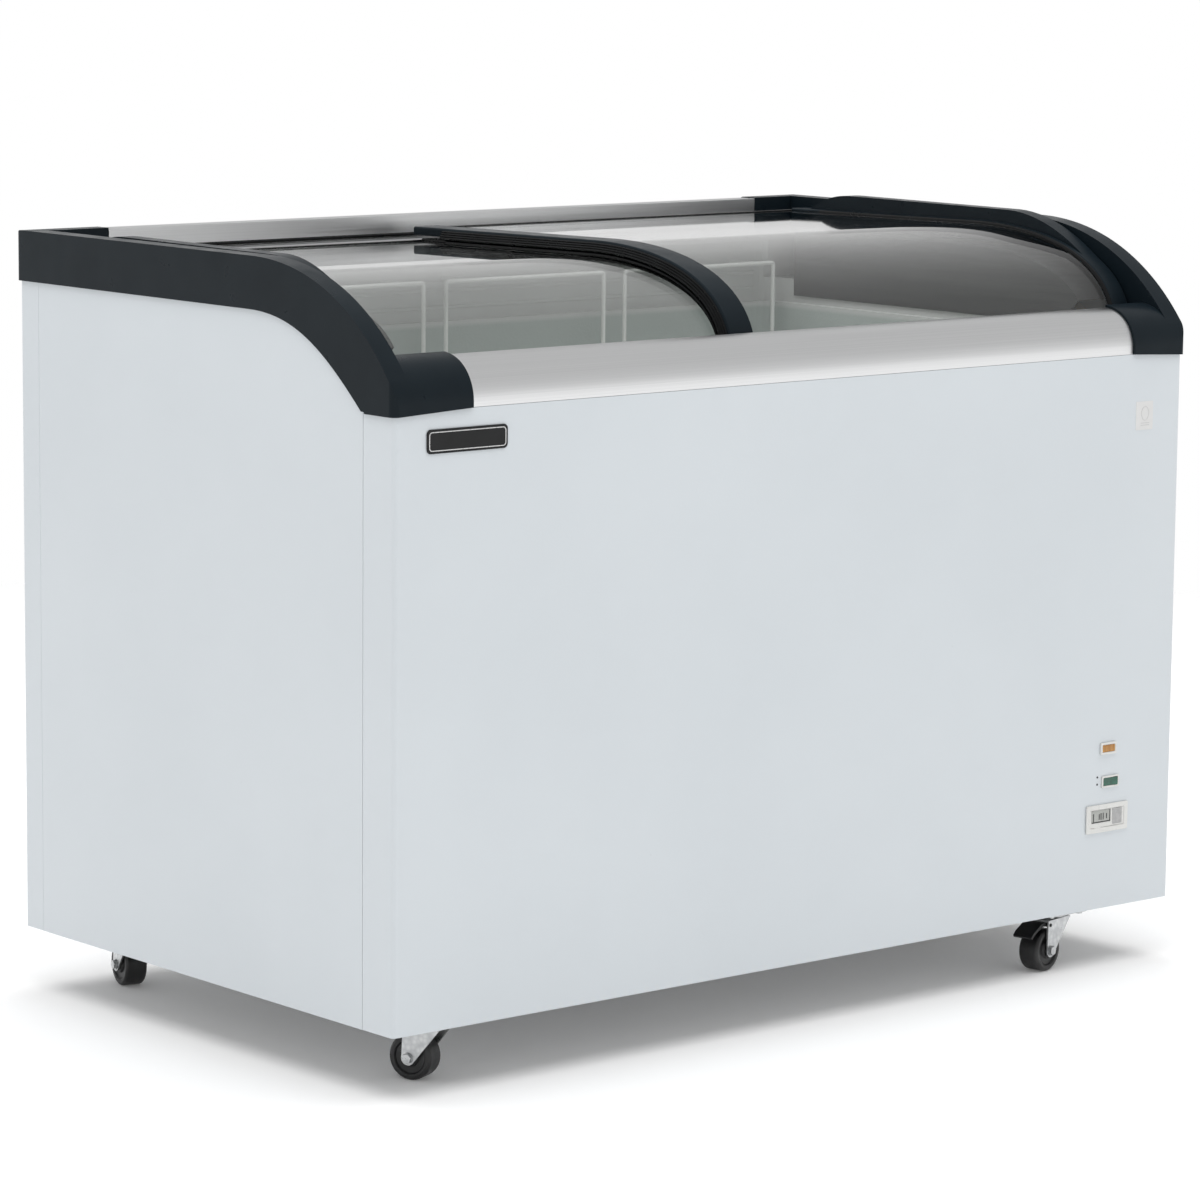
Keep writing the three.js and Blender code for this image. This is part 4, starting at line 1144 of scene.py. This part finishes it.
def add_brake():
    outline = [(24, -12.2), (36, -11.6), (53, -20), (58, -25), (56, -27.5), (49, -22), (34, -15.5), (24, -17)]
    pin = disc(2, -17.5, 17.5, (24, 0, -14.8), (0, 1, 0), 0.3, 16)
    barrel = disc(2.7, -13, 13, (24, 0, -14.8), (0, 1, 0), 0.3, 16)
    lever = joined(along_y(outline, -12.8, 12.8), pin, barrel)
    piece("brake_lever", swivel_frame("front_right")(lever), "black_plastic", "brake_pedal",
          "caster_front_right_brake", bevel=0.8, segments=3, angle=30)


# ---- controls ----
def framed(extent, proud, border, opening_depth):
    """A flange with a rounded outline and a recessed window."""
    outer = along_y(rounded_rectangle(extent.x0, extent.x1, extent.z0, extent.z1, 2.0), -proud, -0.3)
    window = along_y(rounded_rectangle(extent.x0 + border, extent.x1 - border, extent.z0 + border,
                                       extent.z1 - border, 1.0), -proud - 5, opening_depth)
    return outer, ("DIFFERENCE", window)


def add_controls():
    lamp = Extent("indicator_lamp")
    base, window = framed(lamp, 2.5, 2.6, 5)
    piece("lamp_bezel", boolean("lamp_bezel", base, window), "control_plastic", "cabinet",
          "indicator_lamp", bevel=0.5, segments=3, angle=40)
    lens = along_y(rounded_rectangle(lamp.x0 + 2.8, lamp.x1 - 2.8, lamp.z0 + 2.8, lamp.z1 - 2.8, 0.9), -2.1, 6)
    piece("lamp_lens", lens, "amber_lens", "cabinet", bevel=0.5, segments=3, angle=40)
    rocker = Extent("rocker_housing")
    base, window = framed(rocker, 2.0, 2.2, 14)
    piece("rocker_frame", boolean("rocker_frame", base, window), "control_plastic", "cabinet",
          "rocker_housing", bevel=0.5, segments=3, angle=40)
    dress("rocker_button", "green_rocker")
    dots = [disc(1.2, -0.5, 0.3, (rocker.x0 - 6.5, 0, z), (0, 1, 0), 0.15, 16) for z in (rocker.z0 + 5, rocker.z1 - 0.5)]
    piece("rocker_dots", joined(*dots), "segment_black", "cabinet")
    add_thermometer()


def add_thermometer():
    bezel = Extent("thermometer_bezel")
    base, window = framed(bezel, 2.5, 6, 14)
    piece("thermometer_frame", boolean("thermometer_frame", base, window), "control_plastic", "cabinet",
          "thermometer_bezel", bevel=0.9, segments=4, angle=40)
    dress("thermometer_display", "control_plastic")
    face = Extent("thermometer_display").y0
    left, low, high = bezel.x0 + 8.5, bezel.z0 + 12, bezel.z1 - 6.5
    window = along_y(rounded_rectangle(left, left + 31, low, high, 0.8), face - 0.3, face + 0.3)
    piece("thermometer_lcd", window, "display_grey", "cabinet", bevel=0.1, segments=2)
    pad = along_y(rounded_rectangle(left + 34.5, left + 50, low - 4, high, 1.0), face - 0.5, face + 0.3)
    piece("thermometer_pad", pad, "pad_grey", "cabinet", bevel=0.2, segments=2)
    front, back = face - 0.55, face - 0.2
    marks = [box(left + 29.6, left + 31, front, back, low, high), box(left + 0.5, left + 31, front, back, low, low + 1.3)]
    for x, foot, height in ((2.5, 1.5, 9.5), (12.0, 3.5, 6.5), (15.0, 3.0, 8.0), (18.5, 3.0, 8.0), (24.0, 4.0, 6.0)):
        marks.append(box(left + x, left + x + 1.3, front, back, low + foot, low + foot + height))
    piece("thermometer_marks", joined(*marks), "segment_black", "cabinet")


def add_sticker():
    """A small pale square with a plain round mark."""
    card = along_y(rounded_rectangle(1076, 1104, 557, 590, 1.0), -0.25, -0.02)
    piece("sticker_card", card, "paper", "cabinet")
    ring = [(1091 + 6 * u, -0.25, 576 + 8 * v) for u, v in arc(0, 0, 1, 0, 345, 23)]
    bars = [box(1084, 1098, -0.3, -0.2, z, z + 0.8) for z in (562, 564.5)]
    piece("sticker_mark", joined(wire(ring, 0.35, 6, closed=True), *bars), "faint_print", "cabinet")


def add_badge():
    badge = Extent("badge_plate")
    plate = along_y(rounded_rectangle(badge.x0, badge.x1, badge.z0, badge.z1, 5), badge.y0 + 0.4, badge.y1)
    piece("badge_plaque", plate, "black_plastic", "cabinet", "badge_plate", bevel=0.4,
          segments=3, angle=40)
    middle = badge.y0 + 0.3
    outer = rounded_rectangle(badge.x0 + 3, badge.x1 - 3, badge.z0 + 3, badge.z1 - 3, 3.4)
    route = [(u, middle, v) for u, v in outer]
    piece("badge_border", wire(route, 0.55, closed=True), "silver_print", "cabinet")


# ---- refrigeration ----
def add_machinery():
    for node, look in (("compressor", "black_paint"), ("compressor_plate", "zinc_steel"),
                       ("terminal_box", "black_plastic"), ("condenser", "copper"), ("fan_motor", "black_paint"),
                       ("fan_blade", "fan_aluminium"), ("rear_grille", "black_plastic"),
                       ("cord_gland", "black_plastic"), ("base_pan", "zinc_steel")):
        dress(node, look)


# ---- stage ----
FLOOR_RADIUS = 3.2
FLOOR_GLOW = 0.07
WORLD_LIGHT = ((0.0, 1.0), (0.16, 0.66), (0.5, 0.55), (1.0, 0.55))


def add_stage():
    mesh = bpy.data.meshes.new("floor")
    edge = [(x, y, 0) for x, y in arc(0, 0, FLOOR_RADIUS, 0, 357, 119)]
    mesh.from_pydata(edge, [], [tuple(range(len(edge)))])
    floor = bpy.data.objects.new("floor", mesh)
    look = Look("floor", roughness=0.9, Specular_IOR_Level=0.0, Emission_Strength=FLOOR_GLOW)
    look.shader.inputs["Emission Color"].default_value = (1, 1, 1, 1)
    look.colour((0.96, 0.96, 0.96))
    mesh.materials.append(look.material)
    bpy.context.scene.collection.objects.link(floor)
    add_world()
    add_softbox("top", (0, 0, 3.4), (0, 0, 0), 5.0, 150)


def add_world():
    """Even white light from all round, softer above the horizon."""
    world = bpy.data.worlds.new("studio")
    bpy.context.scene.world = world
    world.use_nodes = True
    nodes, links = world.node_tree.nodes, world.node_tree.links
    way = nodes.new("ShaderNodeSeparateXYZ")
    links.new(nodes.new("ShaderNodeTexCoord").outputs["Generated"], way.inputs[0])
    fall = nodes.new("ShaderNodeValToRGB")
    fall.color_ramp.interpolation = "EASE"
    while len(fall.color_ramp.elements) < len(WORLD_LIGHT):
        fall.color_ramp.elements.new(0.5)
    for element, (height, light) in zip(fall.color_ramp.elements, WORLD_LIGHT):
        element.position = height
        element.color = (light, light, light, 1)
    links.new(way.outputs["Z"], fall.inputs["Fac"])
    links.new(fall.outputs["Color"], nodes["Background"].inputs["Color"])


def add_softbox(name, position, target, size, power):
    """A square lamp that lights surfaces without showing as a reflection in them."""
    data = bpy.data.lights.new(name, "AREA")
    data.shape = "SQUARE"
    data.size = size
    data.energy = power
    light = bpy.data.objects.new(name, data)
    light.location = position
    way = Vector(target) - Vector(position)
    light.rotation_euler = way.to_track_quat("-Z", "Y").to_euler()
    light.visible_glossy = False
    bpy.context.scene.collection.objects.link(light)


bpy.context.scene.view_settings.view_transform = "Standard"
add_camera()
add_front_panel()
add_rear_panel()
for node in ("side_panel_left", "side_panel_right"):
    dress(node, "white_paint")
for side in ("left", "right"):
    add_end_cap(side)
    add_lid(side)
add_front_rail()
add_rear_rail()
add_tracks()
add_interior()
for spot in ("left", "middle", "right"):
    add_basket(spot)
for corner in HEADINGS:
    add_caster(corner)
add_brake()
add_controls()
add_badge()
add_sticker()
add_machinery()
add_stage()
